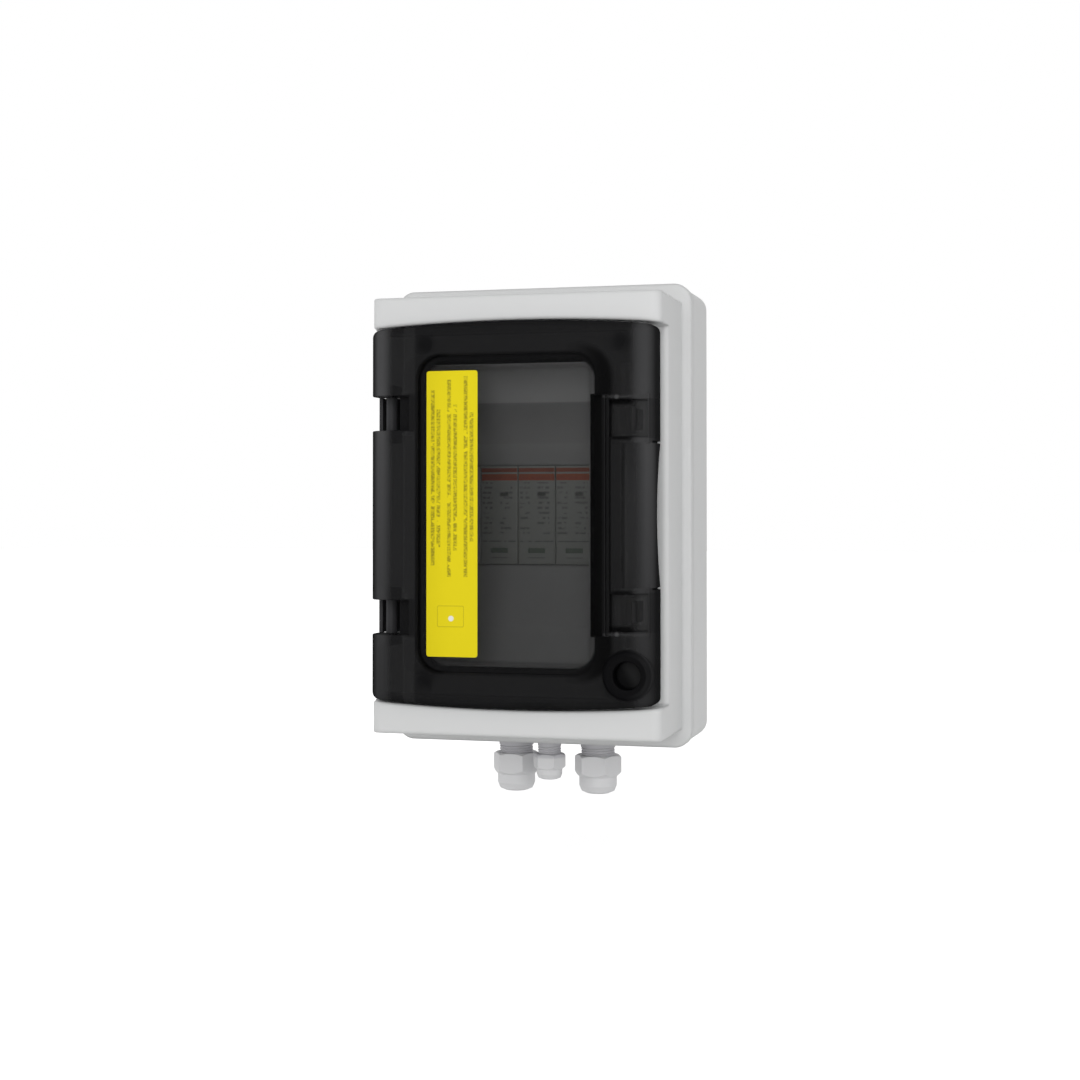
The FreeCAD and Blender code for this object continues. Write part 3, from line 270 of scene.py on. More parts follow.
def plain_plastic(name, plastic):
    """A moulded plastic of one colour."""
    finish, shade, rough, normal = moulded(name, plastic)
    return finish.surface(Base_Color=shade, Roughness=rough, Normal=normal, Specular_IOR_Level=plastic.shine)


# The tray behind the door, in millimetres
TRAY_WIDTH = Span(-44.0, 40.0)
TRAY_DEPTH = Span(-88.0, -62.0)
SLOPE_FOOT = Ramp(26.0, 50.0)
SLOPE_HEAD = Ramp(50.2, 50.8)
# How much painted shade darkens the slope above the modules
SLOPE_SHADE = 0.3
# The casing's relief in metres, its mottle and its shine
CASING_RELIEF, CASING_MOTTLE, CASING_SHINE = 1.2e-5, 0.02, 0.4
# The scale and the detail of the dust, and how far it changes the roughness
DUST = (9.0, 4.0)
DUST_SPREAD = 0.05


def casing_plastic(look):
    """The light grey casing with soft edges, with painted shade on the slope above the modules."""
    plastic = Plastic(look.colour, look.roughness, look.grain, CASING_RELIEF, CASING_MOTTLE, CASING_SHINE)
    finish, shade, rough, normal = moulded("casing_plastic", plastic, look.edge)
    x, y, z = finish.axes()
    dust = finish.noise(*DUST)
    slope = SLOPE_FOOT.over(z) * (1 - SLOPE_HEAD.over(z)) * TRAY_WIDTH.over(x) * TRAY_DEPTH.over(y)
    # Painted shade on the slope above the modules
    shade = finish.mix(slope * SLOPE_SHADE, shade, BLACK)
    rough = rough + (dust - NOISE_MIDDLE) * DUST_SPREAD
    return finish.surface(Base_Color=shade, Roughness=rough, Normal=normal, Specular_IOR_Level=plastic.shine)


# The door's forms, in millimetres from the middle of the wall plane. A form with a twin below the middle is
# placed by its height over or under it. Depths are places on Y, from the front backward.

# The front face, the inside of the shell, and the sunk part with its pane
FLAT_PART = Patch(Span(-55.5, 56.5, 3.0), Span(-80.0, 80.5, 1.5))
SHEEN_PART = Patch(Span(-61.0, 60.5, 1.0), Span(-81.5, 82.0, 1.0))
INNER_DEPTH = Ramp(-98.6, -97.4)
SUNK_PART = Field(-43.0, 38.8, -69.6, 71.0, 11.6, 0.7)
PANE = Field(-39.6, 37.6, -66.3, 68.3, 10.0, 1.5)
PANE_BACK = Ramp(-93.2, -92.8)
PANE_RISE = Ramp(-60.0, 60.0)
PANE_LEVEL, PANE_GRADE = 0.4, 0.06

# The latch zones, the hinge pockets, and the ribs above and below each pocket
ZONE_RIM = Patch(Span(43.9, 61.0), Span(32.9, 49.9))
ZONE = Patch(Span(44.6, 60.2), Span(33.8, 49.0))
POCKET = Patch(Span(-53.0, -45.7), Span(37.2, 52.8))
POCKET_DEPTH = Ramp(-99.4, -99.2)
RIB = Span(-48.6, -43.2, 0.6)
RIB_GAPS = Span(36.6, 53.4, 0.6)

# The channelled bar beside the pane, its flank, and the line of the finger grip
BAR_ROWS = Span(-1.0, 51.7)
GRIP_ROWS = Span(-1.0, 31.0)
# Painted shade in the channel and on its step, at the flank's foot and along the grip line
GROOVE = Span(36.2, 41.0)
GROOVE_STEP, STEP_WEIGHT = Span(41.0, 42.2), 0.6
FLANK = Span(42.2, 43.8, 0.4)
FLANK_LINE, LINE_LOSS = Span(43.9, 44.8), 0.6
GRIP_LINE, GRIP_WEIGHT = Span(49.6, 50.6, 0.2), 0.45

# Painted shade in the hollows by the latch zones, on the side of the front, the pane's border and the wells
OUTER_HOLLOW = Patch(Span(44.2, 54.0, 1.8), Span(47.4, 49.7, 0.9))
INNER_HOLLOW = Patch(Span(44.8, 54.2, 1.8), Span(32.3, 33.7, 0.5))
SHADED_SIDE = Field(-30.0, 45.4, -71.0, 73.2, 14.0, 1.6)
SHADE_START = Ramp(24.0, 42.0)
PAST_BAR = Ramp(51.4, 51.9)
BORDER_OUTSIDE = Field(-42.9, 38.5, -69.3, 70.7, 11.1, 0.25)
BORDER_INSIDE = Field(-41.6, 38.5, -68.2, 69.5, 10.0, 0.25)
BORDER_END, BORDER_WEIGHT = Ramp(-34.0, -26.0), 0.8
WELLS, WELL_EDGE, WELL_WEIGHT = ((-38.2, 75.0), (49.9, 74.1), (-37.9, -71.2)), Ramp(1.8, 6.2), 0.7

# Painted highlights: a lit line at the bar's ends, with a glint in it
BAR_END, BAR_END_WEIGHT = Patch(Span(41.5, 60.5, 0.5), Span(50.2, 51.3, 0.3)), 0.45
GLINT, GLINT_EDGE, GLINT_WEIGHT = (47.4, 50.6), Ramp(0.3, 1.4), 0.9

# The lock boss, by distance from its middle, with painted light and shade
LOCK = (51.9, -68.1)
LOCK_EDGE, LOCK_RING, LOCK_BORE = Ramp(10.2, 11.4), Ramp(8.0, 8.8), Ramp(5.2, 5.8)
LOCK_SIDE = Ramp(50.0, 62.0)
LOCK_LIT, LIT_SLANT = Ramp(7.5, 12.5), 0.6
LOCK_DENSITY = 0.04

# Painted highlights on the bends at the two sides
LEFT_GLOW = Ramp(-64.2, -60.4), Ramp(-59.2, -53.0)
RIGHT_GLOW, GRIP_SHIFT = Ramp(52.0, 59.0), 2.0
GLOW_DEPTH, GRIP_DEPTH, DEPTH_LOSS = Ramp(-97.5, -91.5), 1.5, 0.85
RIGHT_LEVEL, GRIP_GAIN, ZONE_LOSS = 0.72, 0.22, 0.28
GLOW_RISE, GLOW_LEVEL, GLOW_GAIN = Ramp(-115.0, 60.0), 0.3, 0.66

# Colours of the smoked plastic, most of them painted light or shade, and the scale and detail of its clouds
SMOKE_CLOUD = (14.0, 3.0)
SMOKE = {
    "dull": (0.0112, 0.0112, 0.0116), "bright": (0.0127, 0.0127, 0.0132),
    # Painted light in the latch zones and painted shade over the cover's screw wells
    "zone": (0.0215, 0.0215, 0.022), "well": (0.0045, 0.0045, 0.005),
    # Painted light over the ribs and painted shade on the sunk part's border walls
    "rib": (0.019, 0.019, 0.0195), "sunk": (0.0095, 0.0095, 0.01),
    # Painted shade in the grooves and a painted highlight on the bar's flank
    "groove": (0.0022, 0.0022, 0.0024), "flank": (0.014, 0.014, 0.0145),
    # Painted highlights on the bar's ends and their glint
    "bar_end": (0.045, 0.045, 0.046), "glint": (0.07, 0.07, 0.071),
    # Painted shade on the lock boss's left side and painted light on its right
    "boss_left": (0.0035, 0.0035, 0.004), "boss_right": (0.013, 0.013, 0.0135),
    # Painted shade on the wall and the floor of the lock's hole
    "ring": (0.0042, 0.0042, 0.0046), "bore": (0.006, 0.006, 0.0064),
    # Painted light on one side of the lock hole's floor
    "bore_lit": (0.019, 0.019, 0.0195), "pocket": (0.01, 0.01, 0.0105),
}


class DoorForms:
    """The door's forms as masks over its faces, with the places of its painted light and shade."""

    def __init__(self, finish):
        self.x, self.y, self.z = x, y, z = finish.axes()
        self.height = height = abs(z)
        self.inner = INNER_DEPTH.over(y)
        # The sunk part, whose border walls carry painted shade
        self.sunk = SUNK_PART.over(x, z)
        self.pane = PANE.over(x, z) * (1 - PANE_BACK.over(y))
        # The latch zones, thinner and with painted light
        self.zone = ZONE.over(x, height)
        self.zone_rows = ZONE_RIM.up.over(height)
        self.grip_rows = GRIP_ROWS.over(height)
        self.pocket = POCKET.over(x, height) * POCKET_DEPTH.over(y)
        self.turn = distance(x, z, LOCK)
        self.lock = 1 - LOCK_EDGE.over(self.turn)
        # Painted light over the ribs above and below each pocket
        self.rib = RIB.over(x) * (1 - RIB_GAPS.over(height)) * (1 - self.inner)
        bar_rows = BAR_ROWS.over(height)
        # The bar's flank, with a painted highlight
        self.flank = FLANK.over(x) * bar_rows
        bend = 1 - FLAT_PART.over(x, z)
        self.dense = (bend + self.sunk + ZONE_RIM.over(x, height) + self.pocket + self.lock
                      + self.flank).at_most(1.0)
        # Painted shade in the channel, the flank's foot, the grip line, the hollows and the pane's borders
        grooves = GROOVE.over(x) + STEP_WEIGHT * GROOVE_STEP.over(x)
        grooves = grooves + FLANK_LINE.over(x) * (1 - LINE_LOSS * self.zone_rows)
        grooves = grooves + GRIP_LINE.over(x) * self.grip_rows * GRIP_WEIGHT
        hollows = OUTER_HOLLOW.over(x, height) + INNER_HOLLOW.over(x, height)
        side = SHADED_SIDE.over(x, z) * SHADE_START.over(x) * (1 - self.pane) * PAST_BAR.over(height)
        border = BORDER_OUTSIDE.over(x, z) * (1 - BORDER_END.over(x))
        border = border * (1 - BORDER_INSIDE.over(x, z)) * BORDER_WEIGHT
        self.grooves = grooves * bar_rows + hollows + side + border

    def density(self, look):
        """How much of the light each face holds back."""
        plain = look.frame_density - self.inner * (look.frame_density - look.inner_density)
        density = plain + self.dense * (look.wall_density - plain)
        grade = (PANE_RISE.over(self.z) - PANE_LEVEL) * PANE_GRADE
        density = density - self.pane * (look.wall_density - look.pane_density + grade)
        density = density - self.zone * (look.wall_density - look.zone_density)
        return (density + self.grooves).at_most(look.wall_density) + self.lock * LOCK_DENSITY

    def glow(self):
        """Painted highlights where the sides bend back, strongest at the top."""
        start, end = LEFT_GLOW
        left = start.over(self.x) * (1 - end.over(self.x))
        right = RIGHT_GLOW.over(self.x - self.grip_rows * GRIP_SHIFT)
        right = right * (1 - DEPTH_LOSS * GLOW_DEPTH.over(self.y - self.grip_rows * GRIP_DEPTH))
        right = right * (RIGHT_LEVEL + GRIP_GAIN * self.grip_rows - ZONE_LOSS * self.zone_rows)
        return (left + right) * (GLOW_LEVEL + GLOW_GAIN * GLOW_RISE.over(self.z))

    def boss(self, finish):
        """The lock boss, painted lit on its right and on one side of its floor, painted shade on the rest.
        """
        shade = finish.mix(LOCK_SIDE.over(self.x), SMOKE["boss_left"], SMOKE["boss_right"])
        shade = finish.mix(1 - LOCK_RING.over(self.turn), shade, SMOKE["ring"])
        lit = LOCK_LIT.over(self.x + self.z * LIT_SLANT)
        floor = finish.mix(lit, SMOKE["bore"], SMOKE["bore_lit"])
        return finish.mix(1 - LOCK_BORE.over(self.turn), shade, floor)


def smoked_plastic(look):
    """Smoked clear plastic: thin in the pane and the latch zones, dense in the walls and bends."""
    finish = Finish("smoked_plastic")
    forms = DoorForms(finish)
    shade = finish.mix(finish.noise(*SMOKE_CLOUD), SMOKE["dull"], SMOKE["bright"])
    # Painted shade over the cover's screw wells
    wells = total(1 - WELL_EDGE.over(distance(forms.x, forms.z, point)) for point in WELLS)
    # A painted glint in the lit line at the bar's ends
    glint = GLINT_WEIGHT - GLINT_EDGE.over(distance(forms.x, forms.height, GLINT)) * GLINT_WEIGHT
    # Lay each mask's colour over the clouds, most of them painted light or shade
    for mask, colour in ((forms.zone, SMOKE["zone"]), (wells * WELL_WEIGHT, SMOKE["well"]),
                         (forms.rib, SMOKE["rib"]), (forms.sunk, SMOKE["sunk"]),
                         (forms.grooves.at_most(1.0), SMOKE["groove"]), (forms.flank, SMOKE["flank"]),
                         (forms.glow(), look.bend_colour),
                         (BAR_END.over(forms.x, forms.height) * BAR_END_WEIGHT, SMOKE["bar_end"]),
                         (glint, SMOKE["glint"]), (forms.lock, forms.boss(finish)),
                         (forms.pocket, SMOKE["pocket"])):
        shade = finish.mix(mask, shade, colour)
    sheen = SHEEN_PART.over(forms.x, forms.z)
    return finish.surface(Base_Color=shade, Roughness=0.6, Alpha=forms.density(look),
                          Specular_IOR_Level=0.0, Coat_Weight=sheen * look.gloss,
                          Coat_Roughness=look.roughness, Coat_IOR=1.5)


class Grain(NamedTuple):
    """A drawn metal's surface: noise scales, the grain's stretch, roughness, its spread and relief."""
    cloud: float
    drawn: float
    stretch: tuple
    roughness: float
    spread: float
    relief: float


STEEL_GRAIN = Grain(140.0, 500.0, (1.0, 1.0, 8.0), 0.28, 0.14, 4e-6)
BRASS_GRAIN = Grain(160.0, 420.0, (0.1, 1.0, 1.0), 0.25, 0.2, 5e-6)
CLOUD_DETAIL, DRAWN_DETAIL = 4.0, 3.0
# The dull and the bright colour of each metal
ZINC = (0.52, 0.54, 0.56), (0.68, 0.69, 0.7)
BURNISHED = (0.03, 0.03, 0.032), (0.05, 0.05, 0.052)
BRASS = (0.62, 0.42, 0.16), (0.76, 0.57, 0.25)


def drawn_metal(name, dull, bright, grain):
    """Metal with a fine drawn grain and cloudy patches between two colours."""
    finish = Finish(name)
    cloud = finish.noise(grain.cloud, CLOUD_DETAIL)
    drawn = finish.noise(grain.drawn, DRAWN_DETAIL, grain.stretch)
    shade = finish.mix(cloud, dull, bright)
    return finish.surface(Base_Color=shade, Metallic=1.0, Roughness=grain.roughness + drawn * grain.spread,
                          Normal=finish.bump(drawn, grain.relief))


# A cartridge's front, in millimetres, across from its left side
MODULE_FRONT = -58.0
MODULE_LEFT, MODULE_PITCH = -25.1, 17.6
THIN_BAND, BROAD_BAND, BAND_WIDTH = Span(19.6, 21.4), Span(15.8, 18.7), Span(0.4, 17.2)
THIN_BAND_INK = 0.35
BAND_MARKS, BAND_MARK_INK = Span(16.4, 18.0, 0.3), 0.2
ROW_PITCH, ROW_HEIGHT, ROWS = 2.3, Span(0.5, 1.5, 0.3), Span(-8.6, 15.0)
ROW_COLUMNS, ROW_INK = (Span(0.9, 5.6, 0.4), Span(9.2, 15.0, 0.4)), 0.5
BLOCK, BLOCK_INK = Patch(Span(9.2, 13.0, 0.6), Span(8.6, 10.4, 0.5)), 0.8
RULE, RULE_INK = Patch(Span(0.8, 16.6), Span(-12.2, -11.6)), 0.5
FOOT_LINE, FOOT_INK = Patch(Span(5.0, 12.6), Span(-19.6, -19.1)), 0.4
STATUS_WINDOW = Patch(Span(4.8, 12.8), Span(-17.2, -15.0))
# Broken rows: a noise by scale, detail and stretch, and the step that cuts it into short marks and patches
FRONT_WORDS, FRONT_WORD_CUT = (700.0, 1.0, (1.0, 1.0, 0.4)), Ramp(0.38, 0.5)
FRONT_PATCHES, FRONT_PATCH_CUT = (190.0, 1.0, (1.0, 1.0, 1.6)), Ramp(0.42, 0.5)
MODULE_ROUGHNESS, MODULE_RELIEF = 0.5, 1e-5


def module_plastic(look):
    """The cartridges' grey plastic, with plain colour bars on each front."""
    plastic = Plastic(look.colour, MODULE_ROUGHNESS, relief=MODULE_RELIEF)
    finish, shade, rough, normal = moulded("module_plastic", plastic)
    x, y, z = finish.axes()
    face = y < MODULE_FRONT
    across = (x - MODULE_LEFT) % MODULE_PITCH
    words = FRONT_WORD_CUT.over(finish.noise(*FRONT_WORDS))
    thin = THIN_BAND.over(z)
    bands = (thin + BROAD_BAND.over(z)) * BAND_WIDTH.over(across)
    shade = finish.mix(face * bands, shade, look.band)
    marks = thin * THIN_BAND_INK + BAND_MARKS.over(z) * words * BAND_MARK_INK
    shade = finish.mix(face * marks, shade, look.ink)
    patches = FRONT_PATCH_CUT.over(finish.noise(*FRONT_PATCHES))
    rows = ROW_HEIGHT.over(z % ROW_PITCH) * ROWS.over(z) * patches
    columns = total(column.over(across) for column in ROW_COLUMNS)
    shade = finish.mix(face * rows * columns * words * ROW_INK, shade, look.ink)
    marks = BLOCK.over(across, z) * BLOCK_INK + RULE.over(across, z) * words * RULE_INK
    shade = finish.mix(face * (marks + FOOT_LINE.over(across, z) * FOOT_INK), shade, look.ink)
    shade = finish.mix(face * STATUS_WINDOW.over(across, z), shade, look.status)
    return finish.surface(Base_Color=shade, Roughness=rough, Normal=normal)


# The strip's bars (middle, foot, head), its frame and its spot, in millimetres
STRIP_BARS = ((-36.0, -22.0, 55.0), (-33.4, -14.0, 46.5), (-28.5, -27.0, 59.5),
              (-25.7, -15.5, 48.5), (-20.9, -27.0, 61.0), (-18.2, -11.5, 45.0))
BAR_HALF, BAR_SOFT, BAR_INK = 0.85, 0.35, 0.68
LETTER_FLOOR = 0.35
FRAME_OUTSIDE = Field(-34.0, -21.6, -49.0, -39.5, 0.8, 0.1)
FRAME_INSIDE = Field(-33.6, -22.0, -48.6, -39.9, 0.6, 0.1)
FRAME_INK = 0.3
SPOT, SPOT_EDGE = (-27.6, -45.2), Ramp(0.9, 1.5)
# The bars are broken up by two noises, as on the modules
STRIP_WORDS, STRIP_WORD_CUT = (380.0, 1.0, (0.6, 1.0, 1.0)), Ramp(0.33, 0.38)
STRIP_LETTERS, STRIP_LETTER_CUT = (1500.0, 1.0, (0.7, 1.0, 1.0)), Ramp(0.36, 0.64)
FILM_CLOUD, FILM_MOTTLE = (20.0, 3.0), 0.04
FILM_ROUGHNESS, FILM_SPREAD = 0.45, 0.08


def yellow_film(look):
    """The strip's yellow film, with broken grey bars and a spot in a thin frame."""
    finish = Finish("yellow_film")
    x, y, z = finish.axes()
    cloud = finish.noise(*FILM_CLOUD)
    shade = finish.mix(cloud, tuple(channel * (1 - FILM_MOTTLE) for channel in look.colour), look.colour)
    words = STRIP_WORD_CUT.over(finish.noise(*STRIP_WORDS))
    letters = STRIP_LETTER_CUT.over(finish.noise(*STRIP_LETTERS))
    letters = words * (LETTER_FLOOR + letters * (1 - LETTER_FLOOR))
    bars = total(Patch(Span(middle - BAR_HALF, middle + BAR_HALF, BAR_SOFT), Span(foot, top)).over(x, z)
                 for middle, foot, top in STRIP_BARS)
    shade = finish.mix(letters * bars * BAR_INK, shade, look.ink)
    frame = FRAME_OUTSIDE.over(x, z) - FRAME_INSIDE.over(x, z)
    shade = finish.mix(frame * FRAME_INK, shade, look.ink)
    spot = 1 - SPOT_EDGE.over(distance(x, z, SPOT))
    shade = finish.mix(spot, shade, look.spot)
    return finish.surface(Base_Color=shade, Roughness=FILM_ROUGHNESS + cloud * FILM_SPREAD,
                          Specular_IOR_Level=0.1)


GLAND_ROUGHNESS = 0.42
# Where the neck's painted shade and dullness start and end over the nut's top, in millimetres
NECK_START, NECK_END = -0.6, 0.8
NECK_ROUGHNESS = 0.2


def gland_nylon(look, nut_top):
    """The glands' grey nylon, dull in the thread above the nuts and darkened there by painted shade."""
    finish, shade, rough, normal = moulded("gland_nylon", Plastic(look.colour, GLAND_ROUGHNESS))
    x, y, z = finish.axes()
    neck = z.fade(nut_top + NECK_START, nut_top + NECK_END)
    return finish.surface(Base_Color=finish.mix(neck, shade, look.neck),
                          Roughness=rough + neck * NECK_ROUGHNESS, Normal=normal)


class CasingLook(bpy.types.PropertyGroup):
    colour: bpy.props.FloatVectorProperty(name="Casing colour", description="Colour of the casing plastic",
                                          subtype="COLOR", default=(0.655, 0.66, 0.66))
    roughness: bpy.props.FloatProperty(name="Roughness", description="Roughness of the casing plastic",
                                       default=0.5, min=0.0, max=1.0, subtype="FACTOR")
    grain: bpy.props.FloatProperty(name="Grain", description="Grain blobs per metre", default=1600.0)
    edge: bpy.props.FloatProperty(name="Edge", description="Radius that softens the casing's edges",
                                  default=2.5 * MM, unit="LENGTH")


class DoorLook(bpy.types.PropertyGroup):
    pane_density: bpy.props.FloatProperty(name="Pane density", description="How dark a face of the pane is",
                                          default=0.42, min=0.0, max=1.0, subtype="FACTOR")
    zone_density: bpy.props.FloatProperty(name="Zone density", description="How dark a latch zone's face is",
                                          default=0.7, min=0.0, max=1.0, subtype="FACTOR")
    frame_density: bpy.props.FloatProperty(name="Frame density",
                                           description="How dark the frame's front face is",
                                           default=0.92, min=0.0, max=1.0, subtype="FACTOR")
    inner_density: bpy.props.FloatProperty(name="Inner density",
                                           description="How dark a face inside the frame is",
                                           default=0.27, min=0.0, max=1.0, subtype="FACTOR")
    wall_density: bpy.props.FloatProperty(name="Wall density", description="How dark a face seen edge on is",
                                          default=0.95, min=0.0, max=1.0, subtype="FACTOR")
    # Painted highlight where the sides bend back
    bend_colour: bpy.props.FloatVectorProperty(name="Bend colour",
                                               description="Colour where the sides bend back",
                                               subtype="COLOR", default=(0.072, 0.072, 0.074))
    gloss: bpy.props.FloatProperty(name="Gloss", description="Strength of the sheen on the front",
                                   default=0.03, min=0.0, max=1.0, subtype="FACTOR")
    roughness: bpy.props.FloatProperty(name="Roughness", description="Roughness of the sheen",
                                       default=0.3, min=0.0, max=1.0, subtype="FACTOR")


class LabelLook(bpy.types.PropertyGroup):
    colour: bpy.props.FloatVectorProperty(name="Film colour", description="Colour of the strip's film",
                                          subtype="COLOR", default=(0.8, 0.665, 0.009))
    ink: bpy.props.FloatVectorProperty(name="Ink", description="Colour of the bars on the strip",
                                       subtype="COLOR", default=(0.15, 0.125, 0.012))
    spot: bpy.props.FloatVectorProperty(name="Spot", description="Colour of the small round spot",
                                        subtype="COLOR", default=(0.8, 0.8, 0.74))


class ModuleLook(bpy.types.PropertyGroup):
    colour: bpy.props.FloatVectorProperty(name="Module colour", description="Colour of the cartridges",
                                          subtype="COLOR", default=(0.58, 0.6, 0.57))
    band: bpy.props.FloatVectorProperty(name="Band colour", description="Colour of the upper bands",
                                        subtype="COLOR", default=(0.7, 0.2, 0.11))
    status: bpy.props.FloatVectorProperty(name="Status colour", description="Colour in the status window",
                                          subtype="COLOR", default=(0.28, 0.33, 0.28))
    ink: bpy.props.FloatVectorProperty(name="Ink", description="Colour of the grey bars",
                                       subtype="COLOR", default=(0.1, 0.1, 0.1))


class GlandLook(bpy.types.PropertyGroup):
    colour: bpy.props.FloatVectorProperty(name="Gland colour", description="Colour of the gland nylon",
                                          subtype="COLOR", default=(0.725, 0.725, 0.735))
    # Painted shade on the thread above the nut, under the casing
    neck: bpy.props.FloatVectorProperty(name="Neck colour", description="Colour of the thread above the nut",
                                        subtype="COLOR", default=(0.54, 0.535, 0.56))
    pitch: bpy.props.FloatProperty(name="Thread pitch", description="Rise of the gland thread in one turn",
                                   default=1.2 * MM, unit="LENGTH")


class StageLook(bpy.types.PropertyGroup):
    azimuth: bpy.props.FloatProperty(name="Azimuth", description="Camera's turn to the object's right",
                                     default=math.radians(15.12), subtype="ANGLE")
    rise: bpy.props.FloatProperty(name="Rise", description="Camera's upward tilt",
                                  default=math.radians(1.02), subtype="ANGLE")
    distance: bpy.props.FloatProperty(name="Distance",
                                      description="From the camera to the middle of the front",
                                      default=0.7773, unit="LENGTH")
    focal: bpy.props.FloatProperty(name="Focal length", description="Lens in photo pixels", default=1786.6)
    sky: bpy.props.FloatProperty(name="Sky", description="Strength of the even light", default=0.35)
    key: bpy.props.FloatProperty(name="Key", description="Power of the large front lamp", default=11.0)
    side: bpy.props.FloatProperty(name="Side", description="Power of each side lamp", default=5.0)


LOOKS = {"casing": CasingLook, "door": DoorLook, "label": LabelLook, "module": ModuleLook,
         "gland": GlandLook, "stage": StageLook}


def look_of(context, name):
    return getattr(context.scene, f"box_{name}_look")


def clear_selection():
    if bpy.context.object and bpy.context.object.mode != "OBJECT":
        bpy.ops.object.mode_set(mode="OBJECT")
    bpy.ops.object.select_all(action="DESELECT")


def paint(names, material):
    """Give CAD nodes one finish."""
    for name in names:
        mesh = NODES[name].data
        mesh.materials.clear()
        mesh.materials.append(material)


def settle(piece, name, body, material):
    """Name a finished piece, put its place into its mesh, and let it ride on a body."""
    bpy.ops.object.transform_apply(location=True, rotation=True, scale=True)
    piece.name = name
    piece.data.materials.clear()
    piece.data.materials.append(material)
    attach(piece, body)
    piece.select_set(False)


class BOX_OT_casing(bpy.types.Operator):
    """Finish the base, the front cover, the catches, the blank and the two seals"""
    bl_idname = "box.casing"
    bl_label = "Casing"

    def execute(self, context):
        look = look_of(context, "casing")
        paint(("base", "front_cover", "module_blank", "upper_catch", "lower_catch"), casing_plastic(look))
        paint(("cover_gasket",), plain_plastic("seal_rubber", SEAL_RUBBER))
        paint(("door_gasket",), plain_plastic("grey_seal", GREY_SEAL))
        return {"FINISHED"}


class BOX_OT_door(bpy.types.Operator):
    """Finish the smoked door and its hinge brackets"""
    bl_idname = "box.door"
    bl_label = "Door"

    def execute(self, context):
        paint(("door",), smoked_plastic(look_of(context, "door")))
        paint(("upper_hinge_bracket", "lower_hinge_bracket"), plain_plastic("dark_nylon", DARK_NYLON))
        return {"FINISHED"}


class BOX_OT_label(bpy.types.Operator):
    """Finish the yellow strip on the pane"""
    bl_idname = "box.label"
    bl_label = "Label strip"

    def execute(self, context):
        paint(("label_strip",), yellow_film(look_of(context, "label")))
        return {"FINISHED"}


class BOX_OT_modules(bpy.types.Operator):
    """Finish the surge arrester, its cartridges and the earth bar's support"""
    bl_idname = "box.modules"
    bl_label = "Modules"

    def execute(self, context):
        look = look_of(context, "module")
        paint([f"arrester_cartridge_{number}" for number in (1, 2, 3)], module_plastic(look))
        paint(("arrester_base", "earth_bar_support"), plain_plastic("module_base_plastic", MODULE_BASE))
        return {"FINISHED"}


class BOX_OT_metal(bpy.types.Operator):
    """Finish the rail, the screws, the pins and the brass parts"""
    bl_idname = "box.metal"
    bl_label = "Metal parts"

    def execute(self, context):
        paint(("din_rail", "cover_screws", "rail_screws", "terminal_screws", "earth_bar_screws"),
              drawn_metal("zinc_plate", *ZINC, STEEL_GRAIN))
        paint(("upper_hinge_pin", "lower_hinge_pin"),
              drawn_metal("burnished_steel", *BURNISHED, STEEL_GRAIN))
        paint(("terminal_clamps", "earth_bar"), drawn_metal("bar_brass", *BRASS, BRASS_GRAIN))
        return {"FINISHED"}


THREAD_RADIUS = {"left": 7.6 * MM, "middle": 5.1 * MM, "right": 7.6 * MM}
COLLAR_HEIGHT = {"left": 4.9 * MM, "middle": 3.2 * MM, "right": 4.9 * MM}
THREAD_START = 0.2
RIDGE_RADIUS = 0.34
RIDGE_SIDES = 6
TURN_STEPS = 40


def gland_thread(context, word, pitch, material):
    """Wind the thread seen between a gland's collar and its dome nut."""
    low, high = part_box(f"{word}_gland_body")
    middle = (low + high) / 2
    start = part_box(f"{word}_gland_nut")[1].z - pitch * THREAD_START
    wall_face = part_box("base")[0].z
    turns = max(2, int((wall_face - COLLAR_HEIGHT[word] - start) / pitch))
    clear_selection()
    bpy.ops.mesh.primitive_circle_add(vertices=RIDGE_SIDES, radius=pitch * RIDGE_RADIUS, fill_type="NGON",
                                      location=(middle.x + THREAD_RADIUS[word], middle.y, start),
                                      rotation=(math.pi / 2, 0, 0))
    piece = context.object
    bpy.ops.object.transform_apply(location=False, rotation=True, scale=True)
    bpy.ops.object.mode_set(mode="EDIT")
    bpy.ops.mesh.select_all(action="SELECT")
    bpy.ops.mesh.delete(type="ONLY_FACE")
    bpy.ops.object.mode_set(mode="OBJECT")
    context.scene.cursor.location = (middle.x, middle.y, start)
    bpy.ops.object.origin_set(type="ORIGIN_CURSOR")
    screw = piece.modifiers.new("thread", "SCREW")
    screw.axis = "Z"
    screw.screw_offset = pitch
    screw.iterations = turns
    screw.steps = screw.render_steps = TURN_STEPS
    screw.use_merge_vertices = False
    bpy.ops.object.modifier_apply(modifier="thread")
    bpy.ops.object.mode_set(mode="EDIT")
    bpy.ops.mesh.select_all(action="SELECT")
    bpy.ops.mesh.fill_holes(sides=RIDGE_SIDES + 2)
    bpy.ops.mesh.select_all(action="SELECT")
    bpy.ops.mesh.normals_make_consistent(inside=False)
    bpy.ops.object.mode_set(mode="OBJECT")
    bpy.ops.object.shade_smooth()
    settle(piece, f"{word}_gland_thread", "casing", material)


class BOX_OT_glands(bpy.types.Operator):
    """Finish the cable glands and wind their threads"""
    bl_idname = "box.glands"
    bl_label = "Cable glands"

    def execute(self, context):
        look = look_of(context, "gland")
        nylon = gland_nylon(look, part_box("left_gland_nut")[1].z / MM)
        rubber = bpy.data.materials["seal_rubber"]
        for word in SIDES:
            paint([f"{word}_gland_{piece}" for piece in ("body", "nut", "locknut")], nylon)
            paint([f"{word}_gland_{piece}" for piece in ("washer", "seal")], rubber)
            gland_thread(context, word, look.pitch, nylon)
        context.scene.cursor.location = (0, 0, 0)
        return {"FINISHED"}


